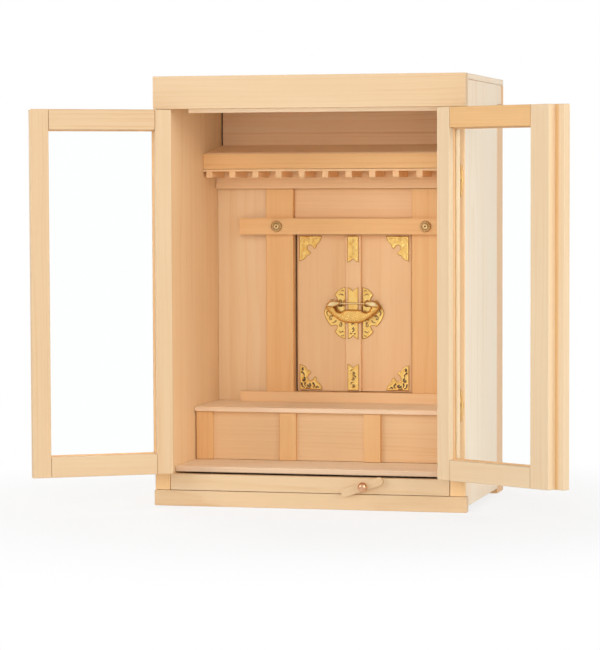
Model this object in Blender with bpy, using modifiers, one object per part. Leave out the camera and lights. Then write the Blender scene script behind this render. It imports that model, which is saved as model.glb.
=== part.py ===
"""Glazed box shrine (kamidana) of plain softwood with brass fittings.

A box cabinet with a pair of rabbeted glass doors, a pull-out offering tray under
its floor, and a shrine front inside it: eave and rafters, beams, pillars, and a
pair of small doors with brass fittings that hide the space for a talisman.
All sizes are in metres, +Z is up, +Y runs from the front into the cabinet.
"""
import math

import bmesh
import bpy
from mathutils import Matrix, Vector

# Fits between pieces
SEAT_GAP = 0.0003
RUN_GAP = 0.0006

# Cabinet
BODY_WIDTH = 0.303
BODY_HEIGHT = 0.4105
BODY_DEPTH = 0.200
SIDE_THICK = 0.0148
REAR_POST_DEPTH = 0.032
REAR_POST_LIP = 0.013
SIDE_LUG_HEIGHT = 0.019
SIDE_LIFT = 0.005
TOP_THICK = 0.0055
FASCIA_HEIGHT = 0.031
FASCIA_THICK = 0.013
RAIL_HEIGHT = 0.015
RAIL_THICK = 0.009
RAIL_OVERHANG = 0.001
BOTTOM_THICK = 0.006
FLOOR_TOP = 0.0365
FLOOR_THICK = 0.0053
BACK_THICK = 0.003
BACK_REST = 0.001
STOP_DROP = 0.0035
STOP_THICK = 0.008
STOP_INSET = 0.0155
ARRIS = 0.0005

# Glass doors
DOOR_THICK = 0.016
DOOR_TOP_CLEAR = 0.0011
DOOR_BOTTOM = 0.0328
DOOR_SEAM = 0.0014
DOOR_SIDE_CLEAR = 0.0006
DOOR_OPEN = math.radians(149)
DOOR_REST_CLEAR = 0.0012
HINGE_STILE = 0.0155
MEETING_STILE_LEFT = 0.0175
MEETING_STILE_RIGHT = 0.0220
TONGUE_WIDTH = 0.011
DOOR_RAIL = 0.0192
GLASS_THICK = 0.002
GROOVE_DEPTH = 0.004
HINGE_HEIGHT = 0.036
HINGE_LEAF = 0.0115
HINGE_PLATE = 0.0008
KNUCKLE_RADIUS = 0.0018
HINGE_RELIEF = 0.0005
HINGE_INSET = 0.068
HINGE_SHOULDER = 0.62
HINGE_WAIST = 0.52
HINGE_SWELL = 0.0007

# Tray and its turn button
TRAY_REAR_SPACE = 0.046
TRAY_FRONT_THICK = 0.008
TRAY_WALL = 0.003
TRAY_WALL_HEIGHT = 0.009
BUTTON_X = 0.0545
BUTTON_WIDTH = 0.008
BUTTON_THICK = 0.0045
BUTTON_LONG_ARM = 0.0225
BUTTON_SHORT_ARM = 0.0195
BUTTON_TILT = math.radians(19)
KNOB_RADIUS = 0.0045
KNOB_REACH = 0.0036
KNOB_STEM_RADIUS = 0.0016

# Offering shelf
SHELF_TOP = 0.089
SHELF_THICK = 0.0048
SHELF_REACH = 0.089
POST_WIDTH = 0.0168
POST_THICK = 0.004
POST_MARGIN = 0.0095
POST_COUNT = 4
POST_INSET = 0.003
RISER_THICK = 0.006
HOUSING_DEPTH = 0.0015

# Shrine front
FACADE_SHIFT = 0.0049
SHRINE_SETBACK = 0.028
WALL_THICK = 0.006
PILLAR_WIDTH = 0.028
PILLAR_THICK = 0.008
BEAM_THICK = 0.006
BEAM_MARGIN = 0.0217
NAGESHI_HEIGHT = 0.0161
FRIEZE_HEIGHT = 0.0296
SILL_HEIGHT = 0.0097
EAVE_BEAM_HEIGHT = 0.0197
BOSS_RADIUS = 0.0058
BOSS_THICK = 0.0016
BOSS_DOME_RADIUS = 0.0032
BOSS_DOME_RISE = 0.0014
BOSS_DOME_SINK = 0.0001
BOSS_PETALS = 16
BOSS_PETAL_DEPTH = 0.0006
BOSS_INSET = 0.01525

# Roof inside the cabinet
EAVE_REACH = 0.054
EAVE_DROP = 0.0878
EAVE_HEIGHT = 0.0151
EAVE_THICK = 0.008
SOFFIT_THICK = 0.002
RAFTER_SIZE = 0.0061
RAFTER_MARGIN = 0.00635
RAFTER_COUNT = 12
RAFTER_INSET = 0.0015
ROOF_RISE = 0.0092
ROOF_THICK = 0.005
UPPER_BACK_THICK = 0.006

# Shrine doors
LEAF_SPAN = 0.122
LEAF_THICK = 0.005
LEAF_CLEAR = 0.0007
LEAF_SIDE_CLEAR = 0.0016
LEAF_SEAM = 0.0008
PIVOT_RADIUS = 0.0012
PIVOT_LENGTH = 0.0022
PIVOT_CLEAR = 0.0004
BATTEN_WIDTH = 0.016
BATTEN_THICK = 0.004
BRASS_THICK = 0.0007
CORNER_WIDTH = 0.0233
CORNER_HEIGHT = 0.0254
CORNER_INSET = 0.001
CORNER_SIDE_INSET = 0.003
STRIP_WIDTH = 0.0115
STRIP_SHARE = 0.169
TAIL_DEPTH = 0.0038
TAIL_SWELL = 0.0005
ESCUTCHEON_WIDTH = 0.0224
ESCUTCHEON_SHARE = 0.333
CENTER_PLATE_WIDTH = 0.0106
LOCK_LIFT = 0.010
LOCK_LENGTH = 0.0516
LOCK_DROP = 0.0192
LOCK_TIP_DROP = 0.0045
LOCK_EAR_REACH = 0.0120
LOCK_EAR_RISE = 0.0028
LOCK_BACK_DROP = 0.0064
LOCK_CROTCH = 0.003
LOCK_CROTCH_SWELL = 0.0006
LOCK_BOW_STEPS = 18
LOCK_DEPTH = 0.004
LOCK_BAR_RADIUS = 0.0008
STAPLE_SPACING = 0.0188
STAPLE_HOLE = 0.0018
STAPLE_WIRE = 0.0008
PRONG_HEIGHT = 0.0013
PRONG_HOLD = 0.0008
BOW_STEPS = 5

# Sizes that follow from the ones above
HALF = BODY_WIDTH / 2
INNER = HALF - SIDE_THICK
TOP_UNDER = BODY_HEIGHT - TOP_THICK
FASCIA_UNDER = BODY_HEIGHT - FASCIA_HEIGHT
FLOOR_FRONT = DOOR_THICK + DOOR_REST_CLEAR
FLOOR_UNDER = FLOOR_TOP - FLOOR_THICK
BACK_FRONT = BODY_DEPTH - BACK_REST - BACK_THICK
SIDE_DEPTH = BODY_DEPTH - REAR_POST_DEPTH
SIDE_LUG_DEPTH = BODY_DEPTH - REAR_POST_LIP
DOOR_TOP = FASCIA_UNDER - DOOR_TOP_CLEAR
PIN_Y = -(SEAT_GAP + KNUCKLE_RADIUS)
DOOR_BODY = INNER - DOOR_SIDE_CLEAR - DOOR_SEAM / 2
TRAY_LENGTH = BACK_FRONT - TRAY_REAR_SPACE
WALL_FRONT = BODY_DEPTH - SHRINE_SETBACK
PILLAR_FRONT = WALL_FRONT - PILLAR_THICK
BEAM_HALF = INNER - BEAM_MARGIN
SHELF_FRONT = WALL_FRONT - SHELF_REACH
SHELF_UNDER = SHELF_TOP - SHELF_THICK
BEAM_FRONT = PILLAR_FRONT - SEAT_GAP - BEAM_THICK
FACADE_LOW = SHELF_TOP - HOUSING_DEPTH + SEAT_GAP
POST_PITCH = 2 * (INNER - POST_MARGIN) / (POST_COUNT - 1)
EAVE_FRONT = WALL_FRONT - EAVE_REACH
EAVE_LOW = BODY_HEIGHT - EAVE_DROP
EAVE_TOP = EAVE_LOW + EAVE_HEIGHT
EAVE_BEAM_LOW = EAVE_LOW - EAVE_BEAM_HEIGHT
SOFFIT_LOW = EAVE_LOW - SEAT_GAP - SOFFIT_THICK
RAFTER_PITCH = 2 * (INNER - RAFTER_MARGIN) / (RAFTER_COUNT - 1)
NAGESHI_TOP = EAVE_BEAM_LOW - FRIEZE_HEIGHT
NAGESHI_LOW = NAGESHI_TOP - NAGESHI_HEIGHT
SILL_TOP = SHELF_TOP + SEAT_GAP + SILL_HEIGHT
LEAF_BOTTOM = SILL_TOP + LEAF_CLEAR
LEAF_TOP = NAGESHI_LOW - LEAF_CLEAR
LEAF_HEIGHT = LEAF_TOP - LEAF_BOTTOM
LEAF_WIDTH = LEAF_SPAN / 2 - LEAF_SIDE_CLEAR - LEAF_SEAM / 2
LEAF_HEEL = LEAF_THICK / 2
LEAF_PIN_X = LEAF_SPAN / 2 - LEAF_SIDE_CLEAR - LEAF_HEEL
LEAF_PIN_Y = WALL_FRONT + LEAF_HEEL
ESCUTCHEON_Z = (LEAF_BOTTOM + LEAF_TOP) / 2
ESCUTCHEON_HEIGHT = LEAF_HEIGHT * ESCUTCHEON_SHARE
STRIP_LENGTH = LEAF_HEIGHT * STRIP_SHARE
LOCK_Z = ESCUTCHEON_Z + LOCK_LIFT

COLORS = {
    "softwood": ((0.86, 0.66, 0.42, 1), 0.55, 0.0),
    "pale_wood": ((0.88, 0.74, 0.55, 1), 0.55, 0.0),
    "warm_wood": ((0.74, 0.44, 0.22, 1), 0.55, 0.0),
    "glass": ((0.92, 0.96, 0.96, 1), 0.03, 0.0),
    "brass": ((0.80, 0.58, 0.20, 1), 0.28, 1.0),
    "copper": ((0.50, 0.26, 0.14, 1), 0.30, 1.0),
}


def clear_scene():
    """Remove every object and the collections left by an earlier run."""
    for thing in list(bpy.data.objects):
        bpy.data.objects.remove(thing, do_unlink=True)
    for group in list(bpy.data.collections):
        bpy.data.collections.remove(group)


clear_scene()
PARTS = bpy.data.collections.new("kamidana")
CUTTERS = bpy.data.collections.new("cutters")
bpy.context.scene.collection.children.link(PARTS)
bpy.context.scene.collection.children.link(CUTTERS)


def make_material(name, kind):
    """A Principled material of its own for one sub-part."""
    color, roughness, metallic = COLORS[kind]
    material = bpy.data.materials.new(name)
    material.use_nodes = True
    shader = material.node_tree.nodes["Principled BSDF"]
    shader.inputs["Base Color"].default_value = color
    shader.inputs["Roughness"].default_value = roughness
    shader.inputs["Metallic"].default_value = metallic
    if kind == "glass":
        shader.inputs["Transmission Weight"].default_value = 0.9
    material.diffuse_color = color
    return material


def add_object(name, mesh, kind, parent):
    """Put a mesh in the parts collection under its parent empty."""
    thing = bpy.data.objects.new(name, mesh)
    mesh.materials.clear()
    mesh.materials.append(make_material(name, kind))
    PARTS.objects.link(thing)
    thing.parent = parent
    return thing


def add_empty(name, parent, place=(0, 0, 0), turn=0.0, axis="Z"):
    """An empty that carries pieces, turned about one of its own axes."""
    empty = bpy.data.objects.new(name, None)
    empty.empty_display_size = 0.02
    PARTS.objects.link(empty)
    empty.parent = parent
    empty.location = place
    setattr(empty.rotation_euler, axis.lower(), turn)
    return empty


def box_mesh(name, x, y, z):
    """A box between three pairs of limits."""
    mesh = bpy.data.meshes.new(name)
    shape = bmesh.new()
    size = Vector([abs(pair[1] - pair[0]) for pair in (x, y, z)])
    center = Vector([(pair[0] + pair[1]) / 2 for pair in (x, y, z)])
    bmesh.ops.create_cube(shape, size=1, matrix=Matrix.Translation(center) @ Matrix.Diagonal(size.to_4d()))
    shape.to_mesh(mesh)
    shape.free()
    return mesh


def soften(thing, width=ARRIS, segments=1):
    """A small chamfer on the sharp edges of a wooden piece."""
    bevel = thing.modifiers.new("arris", "BEVEL")
    bevel.width = width
    bevel.segments = segments
    bevel.limit_method = "ANGLE"
    bevel.angle_limit = math.radians(60)
    return thing


def board(name, kind, parent, x, y, z, arris=ARRIS):
    """A plain board or bar between its limits, with eased edges."""
    thing = add_object(name, box_mesh(name, x, y, z), kind, parent)
    return soften(thing, arris) if arris else thing


PLANES = {
    "XY": Matrix(((1, 0, 0), (0, 1, 0), (0, 0, 1))),
    "YZ": Matrix(((0, 0, 1), (1, 0, 0), (0, 1, 0))),
    "XZ": Matrix(((1, 0, 0), (0, 0, -1), (0, 1, 0))),
}


def outline_mesh(name, plane, outline, low, high):
    """A flat outline made solid between two levels across its plane."""
    curve = bpy.data.curves.new(name, "CURVE")
    curve.dimensions = "2D"
    curve.fill_mode = "BOTH"
    curve.extrude = abs(high - low) / 2
    spline = curve.splines.new("POLY")
    spline.points.add(len(outline) - 1)
    for point, (u, v) in zip(spline.points, outline):
        point.co = (u, v, 0, 1)
    spline.use_cyclic_u = True
    guide = bpy.data.objects.new(name + "_outline", curve)
    CUTTERS.objects.link(guide)
    bpy.context.view_layer.update()
    evaluated = guide.evaluated_get(bpy.context.evaluated_depsgraph_get())
    mesh = bpy.data.meshes.new_from_object(evaluated)
    mesh.name = name
    bpy.data.objects.remove(guide)
    turn = PLANES[plane].to_4x4()
    across = turn.to_3x3() @ Vector((0, 0, 1))
    sign = 1 if max(across) > 0.5 else -1
    mesh.transform(Matrix.Translation(across * sign * (low + high) / 2) @ turn)
    shape = bmesh.new()
    shape.from_mesh(mesh)
    bmesh.ops.remove_doubles(shape, verts=shape.verts, dist=0.00001)
    bmesh.ops.recalc_face_normals(shape, faces=shape.faces)
    shape.to_mesh(mesh)
    shape.free()
    return mesh


def profile(name, kind, parent, plane, outline, low, high, arris=ARRIS):
    """A moulding or plate whose outline lies in a plane."""
    thing = add_object(name, outline_mesh(name, plane, outline, low, high), kind, parent)
    return soften(thing, arris) if arris else thing


def rod_mesh(name, center, radius, length, axis, sides=16):
    """A round rod about a world axis."""
    mesh = bpy.data.meshes.new(name)
    shape = bmesh.new()
    quarter = math.pi / 2
    turns = {"X": Matrix.Rotation(quarter, 4, "Y"), "Y": Matrix.Rotation(quarter, 4, "X"), "Z": Matrix()}
    place = Matrix.Translation(center) @ turns[axis]
    bmesh.ops.create_cone(shape, cap_ends=True, segments=sides, radius1=radius, radius2=radius,
                          depth=length, matrix=place)
    shape.to_mesh(mesh)
    shape.free()
    return mesh


def tool(name, mesh, parent):
    """A hidden solid that cuts or completes another piece."""
    thing = bpy.data.objects.new(name, mesh)
    CUTTERS.objects.link(thing)
    thing.parent = parent
    thing.hide_render = True
    thing.display_type = "WIRE"
    return thing


def combine(thing, other, operation, label):
    """One exact Boolean with a hidden tool."""
    step = thing.modifiers.new(label, "BOOLEAN")
    step.operation = operation
    step.solver = "EXACT"
    step.object = other
    return thing


def arc(center, radius, start, end, steps):
    """Points along an arc, its angles in degrees."""
    angles = [math.radians(start + (end - start) * i / steps) for i in range(steps + 1)]
    return [(center[0] + radius * math.cos(a), center[1] + radius * math.sin(a)) for a in angles]


def bowed(start, end, swell, steps=BOW_STEPS):
    """Points past the start up to the end, on a curve that swells to the right of the way."""
    a, b = Vector(start), Vector(end)
    right = Vector((b.y - a.y, a.x - b.x)).normalized()
    stops = [i / steps for i in range(1, steps + 1)]
    return [tuple(a.lerp(b, t) + right * 4 * swell * t * (1 - t)) for t in stops]


def chain(corners):
    """An outline through corner points, each with the swell of the edge that ends there."""
    outline = []
    for i, (point, swell) in enumerate(corners):
        outline += bowed(corners[i - 1][0], point, swell) if swell else [point]
    return outline


def mirrored(outline):
    """The outline turned over left to right."""
    return [(-u, v) for u, v in reversed(outline)]


def span(side, near, far):
    """Limits along X on the left (-1) or right (1), in rising order."""
    return tuple(sorted((side * near, side * far)))


def side_outline():
    """A side panel with seats for the fascia and the base rail, and a lug at its top rear."""
    return [
        (RAIL_THICK + SEAT_GAP, SIDE_LIFT),
        (SIDE_DEPTH, SIDE_LIFT),
        (SIDE_DEPTH, TOP_UNDER - SIDE_LUG_HEIGHT),
        (SIDE_LUG_DEPTH, TOP_UNDER - SIDE_LUG_HEIGHT),
        (SIDE_LUG_DEPTH, TOP_UNDER - SEAT_GAP),
        (FASCIA_THICK + SEAT_GAP, TOP_UNDER - SEAT_GAP),
        (FASCIA_THICK + SEAT_GAP, FASCIA_UNDER - SEAT_GAP),
        (0, FASCIA_UNDER - SEAT_GAP),
        (0, RAIL_HEIGHT + SEAT_GAP),
        (RAIL_THICK + SEAT_GAP, RAIL_HEIGHT + SEAT_GAP),
    ]


def rear_post_outline():
    """The rear post, full height, let in behind the side panel's lug."""
    return [
        (SIDE_DEPTH + SEAT_GAP, 0),
        (BODY_DEPTH, 0),
        (BODY_DEPTH, TOP_UNDER - SEAT_GAP),
        (SIDE_LUG_DEPTH + SEAT_GAP, TOP_UNDER - SEAT_GAP),
        (SIDE_LUG_DEPTH + SEAT_GAP, TOP_UNDER - SIDE_LUG_HEIGHT - SEAT_GAP),
        (SIDE_DEPTH + SEAT_GAP, TOP_UNDER - SIDE_LUG_HEIGHT - SEAT_GAP),
    ]


def build_cabinet(root):
    """The carcass: sides, posts, top, fascia, base rail, boards and back."""
    for side, word in ((-1, "left"), (1, "right")):
        low, high = span(side, INNER, HALF)
        profile("side_panel_" + word, "pale_wood", root, "YZ", side_outline(), low, high)
        profile("rear_post_" + word, "warm_wood", root, "YZ", rear_post_outline(), low, high)
    clear = INNER - SEAT_GAP
    behind = BACK_FRONT - SEAT_GAP
    board("top_board", "pale_wood", root, (-HALF, HALF), (FASCIA_THICK + SEAT_GAP, BODY_DEPTH),
          (TOP_UNDER, BODY_HEIGHT))
    build_fascia(root)
    board("base_rail", "softwood", root, (-HALF - RAIL_OVERHANG, HALF + RAIL_OVERHANG), (0, RAIL_THICK),
          (0, RAIL_HEIGHT))
    board("bottom_board", "softwood", root, (-clear, clear), (RAIL_THICK + SEAT_GAP, behind),
          (RAIL_HEIGHT - BOTTOM_THICK, RAIL_HEIGHT))
    board("floor_board", "softwood", root, (-clear, clear), (FLOOR_FRONT, behind), (FLOOR_UNDER, FLOOR_TOP))
    board("back_panel", "warm_wood", root, (-clear, clear), (BACK_FRONT, BACK_FRONT + BACK_THICK),
          (0, TOP_UNDER - SEAT_GAP), arris=0)


def build_fascia(root):
    """The fascia with the strip behind it that the closed doors meet."""
    lip_front = DOOR_THICK + DOOR_REST_CLEAR
    seat = FASCIA_THICK - STOP_THICK / 2
    ledge = FASCIA_UNDER + SEAT_GAP
    stop = [
        (seat, ledge),
        (lip_front, ledge),
        (lip_front, FASCIA_UNDER - STOP_DROP),
        (lip_front + STOP_THICK, FASCIA_UNDER - STOP_DROP),
        (lip_front + STOP_THICK, ledge + STOP_THICK),
        (seat, ledge + STOP_THICK),
    ]
    fascia = board("front_fascia", "softwood", root, (-HALF, HALF), (0, FASCIA_THICK),
                   (FASCIA_UNDER, BODY_HEIGHT), arris=0)
    stop_half = INNER - STOP_INSET
    strip = tool("door_stop", outline_mesh("door_stop", "YZ", stop, -stop_half, stop_half), root)
    combine(fascia, strip, "UNION", "door_stop")
    soften(fascia)


def grooved(outline_low, outline_high, groove_at):
    """A member's section with a glazing groove in the edge that faces the glass."""
    half_groove = GLASS_THICK / 2 + SEAT_GAP
    middle = DOOR_THICK / 2
    depth = GROOVE_DEPTH + SEAT_GAP
    if groove_at == "high":
        return [(outline_low, 0), (outline_high, 0), (outline_high, middle - half_groove),
                (outline_high - depth, middle - half_groove), (outline_high - depth, middle + half_groove),
                (outline_high, middle + half_groove), (outline_high, DOOR_THICK), (outline_low, DOOR_THICK)]
    return [(outline_low, 0), (outline_high, 0), (outline_high, DOOR_THICK), (outline_low, DOOR_THICK),
            (outline_low, middle + half_groove), (outline_low + depth, middle + half_groove),
            (outline_low + depth, middle - half_groove), (outline_low, middle - half_groove)]


def meeting_outline(side, start):
    """The meeting stile: rebated on the left door, tongued on the right one."""
    half = DOOR_THICK / 2
    if side < 0:
        return [(start, 0), (DOOR_SIDE_CLEAR + DOOR_BODY - TONGUE_WIDTH - DOOR_SEAM, 0),
                (DOOR_SIDE_CLEAR + DOOR_BODY - TONGUE_WIDTH - DOOR_SEAM, half + RUN_GAP),
                (DOOR_SIDE_CLEAR + DOOR_BODY, half + RUN_GAP), (DOOR_SIDE_CLEAR + DOOR_BODY, DOOR_THICK),
                (start, DOOR_THICK)]
    return [(start, 0), (DOOR_SIDE_CLEAR + DOOR_BODY + TONGUE_WIDTH, 0),
            (DOOR_SIDE_CLEAR + DOOR_BODY + TONGUE_WIDTH, half), (DOOR_SIDE_CLEAR + DOOR_BODY, half),
            (DOOR_SIDE_CLEAR + DOOR_BODY, DOOR_THICK), (start, DOOR_THICK)]


def door_members(side, word, pivot):
    """Two full-height stiles, two rails between them and the pane in its groove."""
    away = -side
    door = "outer_door_" + word
    meeting = MEETING_STILE_LEFT if side < 0 else MEETING_STILE_RIGHT
    face = -PIN_Y
    edge = DOOR_SIDE_CLEAR + DOOR_BODY
    glass_near = DOOR_SIDE_CLEAR + HINGE_STILE
    glass_far = edge - meeting
    sill_z = DOOR_BOTTOM + DOOR_RAIL
    head_z = DOOR_TOP - DOOR_RAIL

    def in_plan(points):
        placed = [(away * u, v + face) for u, v in points]
        return placed if away > 0 else list(reversed(placed))

    hinge_plan = in_plan([(DOOR_SIDE_CLEAR, 0), (glass_near, 0), (glass_near, DOOR_THICK),
                          (DOOR_SIDE_CLEAR, DOOR_THICK)])
    meeting_plan = in_plan(meeting_outline(side, glass_far))
    hinge_stile = profile(door + "_hinge_stile", "softwood", pivot, "XY", hinge_plan,
                          DOOR_BOTTOM, DOOR_TOP, arris=0)
    meeting_stile = profile(door + "_meeting_stile", "softwood", pivot, "XY", meeting_plan,
                            DOOR_BOTTOM, DOOR_TOP, arris=0)
    half_groove = GLASS_THICK / 2 + SEAT_GAP
    deep = GROOVE_DEPTH + SEAT_GAP
    middle = face + DOOR_THICK / 2
    groove_z = (sill_z - deep, head_z + deep)
    for stile, limits in ((hinge_stile, (glass_near - deep, glass_near + deep)),
                          (meeting_stile, (glass_far - deep, glass_far + deep))):
        x = tuple(sorted(away * value for value in limits))
        cutter = tool(stile.name + "_groove",
                      box_mesh("groove", x, (middle - half_groove, middle + half_groove), groove_z), pivot)
        combine(stile, cutter, "DIFFERENCE", "glazing_groove")
        soften(stile)
    rail_x = tuple(sorted((away * (glass_near + SEAT_GAP), away * (glass_far - SEAT_GAP))))
    for place, low, high, at in (("bottom", DOOR_BOTTOM, sill_z, "high"), ("top", head_z, DOOR_TOP, "low")):
        section = [(v + face, u) for u, v in grooved(low, high, at)]
        profile(f"{door}_{place}_rail", "softwood", pivot, "YZ", section, *rail_x)
    glass_x = tuple(sorted((away * (glass_near - GROOVE_DEPTH), away * (glass_far + GROOVE_DEPTH))))
    glass_y = (middle - GLASS_THICK / 2, middle + GLASS_THICK / 2)
    board(door + "_glass", "glass", pivot, glass_x, glass_y, (sill_z - GROOVE_DEPTH, head_z + GROOVE_DEPTH),
          arris=0)


def hinge_outline(reach, height):
    """An ornamental hinge leaf: ogee ends that narrow to a small point at mid-height."""
    half = height / 2
    shoulder = reach * HINGE_SHOULDER
    waist = half * HINGE_WAIST
    return chain([
        ((0, -half), 0),
        ((shoulder, -half), 0),
        ((shoulder, -waist), HINGE_SWELL * 2),
        ((reach, 0), HINGE_SWELL),
        ((shoulder, waist), HINGE_SWELL),
        ((shoulder, half), HINGE_SWELL * 2),
        ((0, half), 0),
    ])


def build_hinges(side, word, root, pivot):
    """Two butt hinges: one leaf on the side panel's edge, the other on the door's face."""
    pin_x = side * INNER
    knuckle = HINGE_HEIGHT / 3
    relief_half = KNUCKLE_RADIUS + HINGE_RELIEF
    relief_depth = (-2 * KNUCKLE_RADIUS - HINGE_RELIEF, 2 * KNUCKLE_RADIUS + HINGE_RELIEF)
    for place, center in (("upper", DOOR_TOP - HINGE_INSET), ("lower", DOOR_BOTTOM + HINGE_INSET)):
        leaf = hinge_outline(HINGE_LEAF, HINGE_HEIGHT)
        fixed_leaf = leaf if side > 0 else mirrored(leaf)
        fixed = profile(f"{place}_hinge_{word}_frame_leaf", "brass", root, "XZ",
                        [(u + pin_x, v + center) for u, v in fixed_leaf],
                        -SEAT_GAP - HINGE_PLATE, -SEAT_GAP, arris=0)
        bead_mesh = rod_mesh("knuckle", (pin_x, PIN_Y, center), KNUCKLE_RADIUS, knuckle - 2 * SEAT_GAP, "Z")
        bead = tool(fixed.name + "_knuckle", bead_mesh, root)
        for i in (-1, 1):
            z = tuple(sorted((center + i * (knuckle / 2 - SEAT_GAP), center + i * HINGE_HEIGHT)))
            cut = tool(f"{fixed.name}_relief_{i}",
                       box_mesh("relief", (pin_x - relief_half, pin_x + relief_half), relief_depth, z), root)
            combine(fixed, cut, "DIFFERENCE", "relief")
        combine(fixed, bead, "UNION", "knuckle")
        moving_leaf = mirrored(leaf) if side > 0 else leaf
        moving = profile(f"{place}_hinge_{word}_door_leaf", "brass", pivot, "XZ",
                         [(u, v + center) for u, v in moving_leaf],
                         -PIN_Y - SEAT_GAP - HINGE_PLATE, -PIN_Y - SEAT_GAP, arris=0)
        relief = tool(moving.name + "_relief",
                      box_mesh("relief", (-relief_half, relief_half), relief_depth,
                               (center - knuckle / 2, center + knuckle / 2)), pivot)
        combine(moving, relief, "DIFFERENCE", "relief")
        for i in (-1, 1):
            ear = rod_mesh("knuckle", (0, 0, center + i * knuckle), KNUCKLE_RADIUS, knuckle, "Z")
            combine(moving, tool(f"{moving.name}_knuckle_{i}", ear, pivot), "UNION", "knuckle")


def build_outer_door(side, word, root):
    """One glass door, built closed under a pivot that stands open."""
    pivot = add_empty("outer_door_" + word + "_pivot", root, (side * INNER, PIN_Y, 0), side * DOOR_OPEN)
    door_members(side, word, pivot)
    build_hinges(side, word, root, pivot)
    return pivot


def build_tray(root):
    """The pull-out tray with its front, and the turn button on its knob."""
    slide = add_empty("offering_tray_slide", root)
    low = RAIL_HEIGHT + RUN_GAP
    half = INNER - RUN_GAP
    tray = board("offering_tray", "softwood", slide, (-half, half), (0, TRAY_LENGTH),
                 (low, low + TRAY_WALL_HEIGHT), arris=0)
    front = tool("tray_front", box_mesh("tray_front", (-half, half), (0, TRAY_FRONT_THICK),
                                        (low, FLOOR_UNDER - RUN_GAP)), slide)
    hollow = tool("tray_hollow", box_mesh("tray_hollow", (-half + TRAY_WALL, half - TRAY_WALL),
                                          (TRAY_FRONT_THICK, TRAY_LENGTH - TRAY_WALL),
                                          (low + TRAY_WALL, low + TRAY_WALL_HEIGHT + TRAY_WALL)), slide)
    combine(tray, front, "UNION", "front")
    combine(tray, hollow, "DIFFERENCE", "hollow")
    axis_z = (low + FLOOR_UNDER - RUN_GAP) / 2
    bore = tool("knob_bore", rod_mesh("bore", (BUTTON_X, TRAY_FRONT_THICK / 2, axis_z),
                                      KNOB_STEM_RADIUS + SEAT_GAP, TRAY_FRONT_THICK * 2, "Y"), slide)
    combine(tray, bore, "DIFFERENCE", "knob_bore")
    turn = add_empty("turn_button_pivot", slide, (BUTTON_X, 0, axis_z), -BUTTON_TILT, "Y")
    build_button(slide, turn, axis_z)


def build_button(slide, turn, axis_z):
    """A wooden bar that turns on the stem of a small ball knob."""
    end = BUTTON_WIDTH / 2
    short = arc((BUTTON_SHORT_ARM - end, 0), end, -90, 90, 8)
    long = arc((-BUTTON_LONG_ARM + end, 0), end, 90, 270, 8)
    button = profile("turn_button", "softwood", turn, "XZ", short + long,
                     -SEAT_GAP - BUTTON_THICK, -SEAT_GAP, arris=0)
    bore = KNOB_STEM_RADIUS + SEAT_GAP
    hole_mesh = rod_mesh("hole", (0, -BUTTON_THICK / 2, 0), bore, BUTTON_THICK * 2, "Y")
    combine(button, tool("turn_button_hole", hole_mesh, turn), "DIFFERENCE", "hole")
    neck = -2 * SEAT_GAP - BUTTON_THICK
    ball = neck - KNOB_REACH
    stem_center = (0, (ball + TRAY_FRONT_THICK) / 2, 0)
    stem_length = TRAY_FRONT_THICK - ball
    knob = add_object("tray_knob", rod_mesh("tray_knob", stem_center, KNOB_STEM_RADIUS, stem_length, "Y"),
                      "copper", slide)
    knob.location = (BUTTON_X, 0, axis_z)
    head = bpy.data.meshes.new("knob_head")
    shape = bmesh.new()
    bmesh.ops.create_uvsphere(shape, u_segments=20, v_segments=12, radius=KNOB_RADIUS,
                              matrix=Matrix.Translation((0, ball, 0)) @ Matrix.Rotation(math.pi / 2, 4, "X"))
    shape.to_mesh(head)
    shape.free()
    head_tool = tool("knob_head", head, slide)
    head_tool.location = knob.location
    combine(knob, head_tool, "UNION", "head")
    collar_cut = tool("knob_seat", box_mesh("seat", (-KNOB_RADIUS, KNOB_RADIUS), (neck, neck + KNOB_RADIUS),
                                            (-KNOB_RADIUS, KNOB_RADIUS)), slide)
    collar_cut.location = knob.location
    stem = tool("knob_stem", rod_mesh("stem", stem_center, KNOB_STEM_RADIUS, stem_length, "Y"), slide)
    stem.location = knob.location
    combine(knob, collar_cut, "DIFFERENCE", "seat")
    combine(knob, stem, "UNION", "stem")


def build_shelf(root):
    """The shelf, with a shallow housing for the shrine front, its riser and the riser's posts."""
    clear = INNER - SEAT_GAP
    floor = FLOOR_TOP + SEAT_GAP
    top = SHELF_UNDER - SEAT_GAP
    post_front = SHELF_FRONT + POST_INSET
    riser_front = post_front + POST_THICK
    shelf = board("offering_shelf", "softwood", root, (-clear, clear), (SHELF_FRONT, BACK_FRONT - SEAT_GAP),
                  (SHELF_UNDER, SHELF_TOP))
    housing_z = (SHELF_TOP - HOUSING_DEPTH, SHELF_TOP + HOUSING_DEPTH)
    beam_x = (FACADE_SHIFT - BEAM_HALF - SEAT_GAP, FACADE_SHIFT + BEAM_HALF + SEAT_GAP)
    for place, x, front in (("wall", (-HALF, HALF), WALL_FRONT), ("beam", beam_x, BEAM_FRONT)):
        housing = box_mesh("housing", x, (front - SEAT_GAP, BODY_DEPTH), housing_z)
        combine(shelf, tool("housing_" + place, housing, root), "DIFFERENCE", "housing_" + place)
    riser = board("shelf_riser", "softwood", root, (-clear, clear), (riser_front, riser_front + RISER_THICK),
                  (floor, top), arris=0)
    for i in range(POST_COUNT):
        center = (i - (POST_COUNT - 1) / 2) * POST_PITCH
        post = tool(f"shelf_post_{i + 1}",
                    box_mesh("post", (center - POST_WIDTH / 2, center + POST_WIDTH / 2),
                             (post_front, riser_front + RISER_THICK / 2), (floor, top)), root)
        combine(riser, post, "UNION", f"post_{i + 1}")
    soften(riser)


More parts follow.
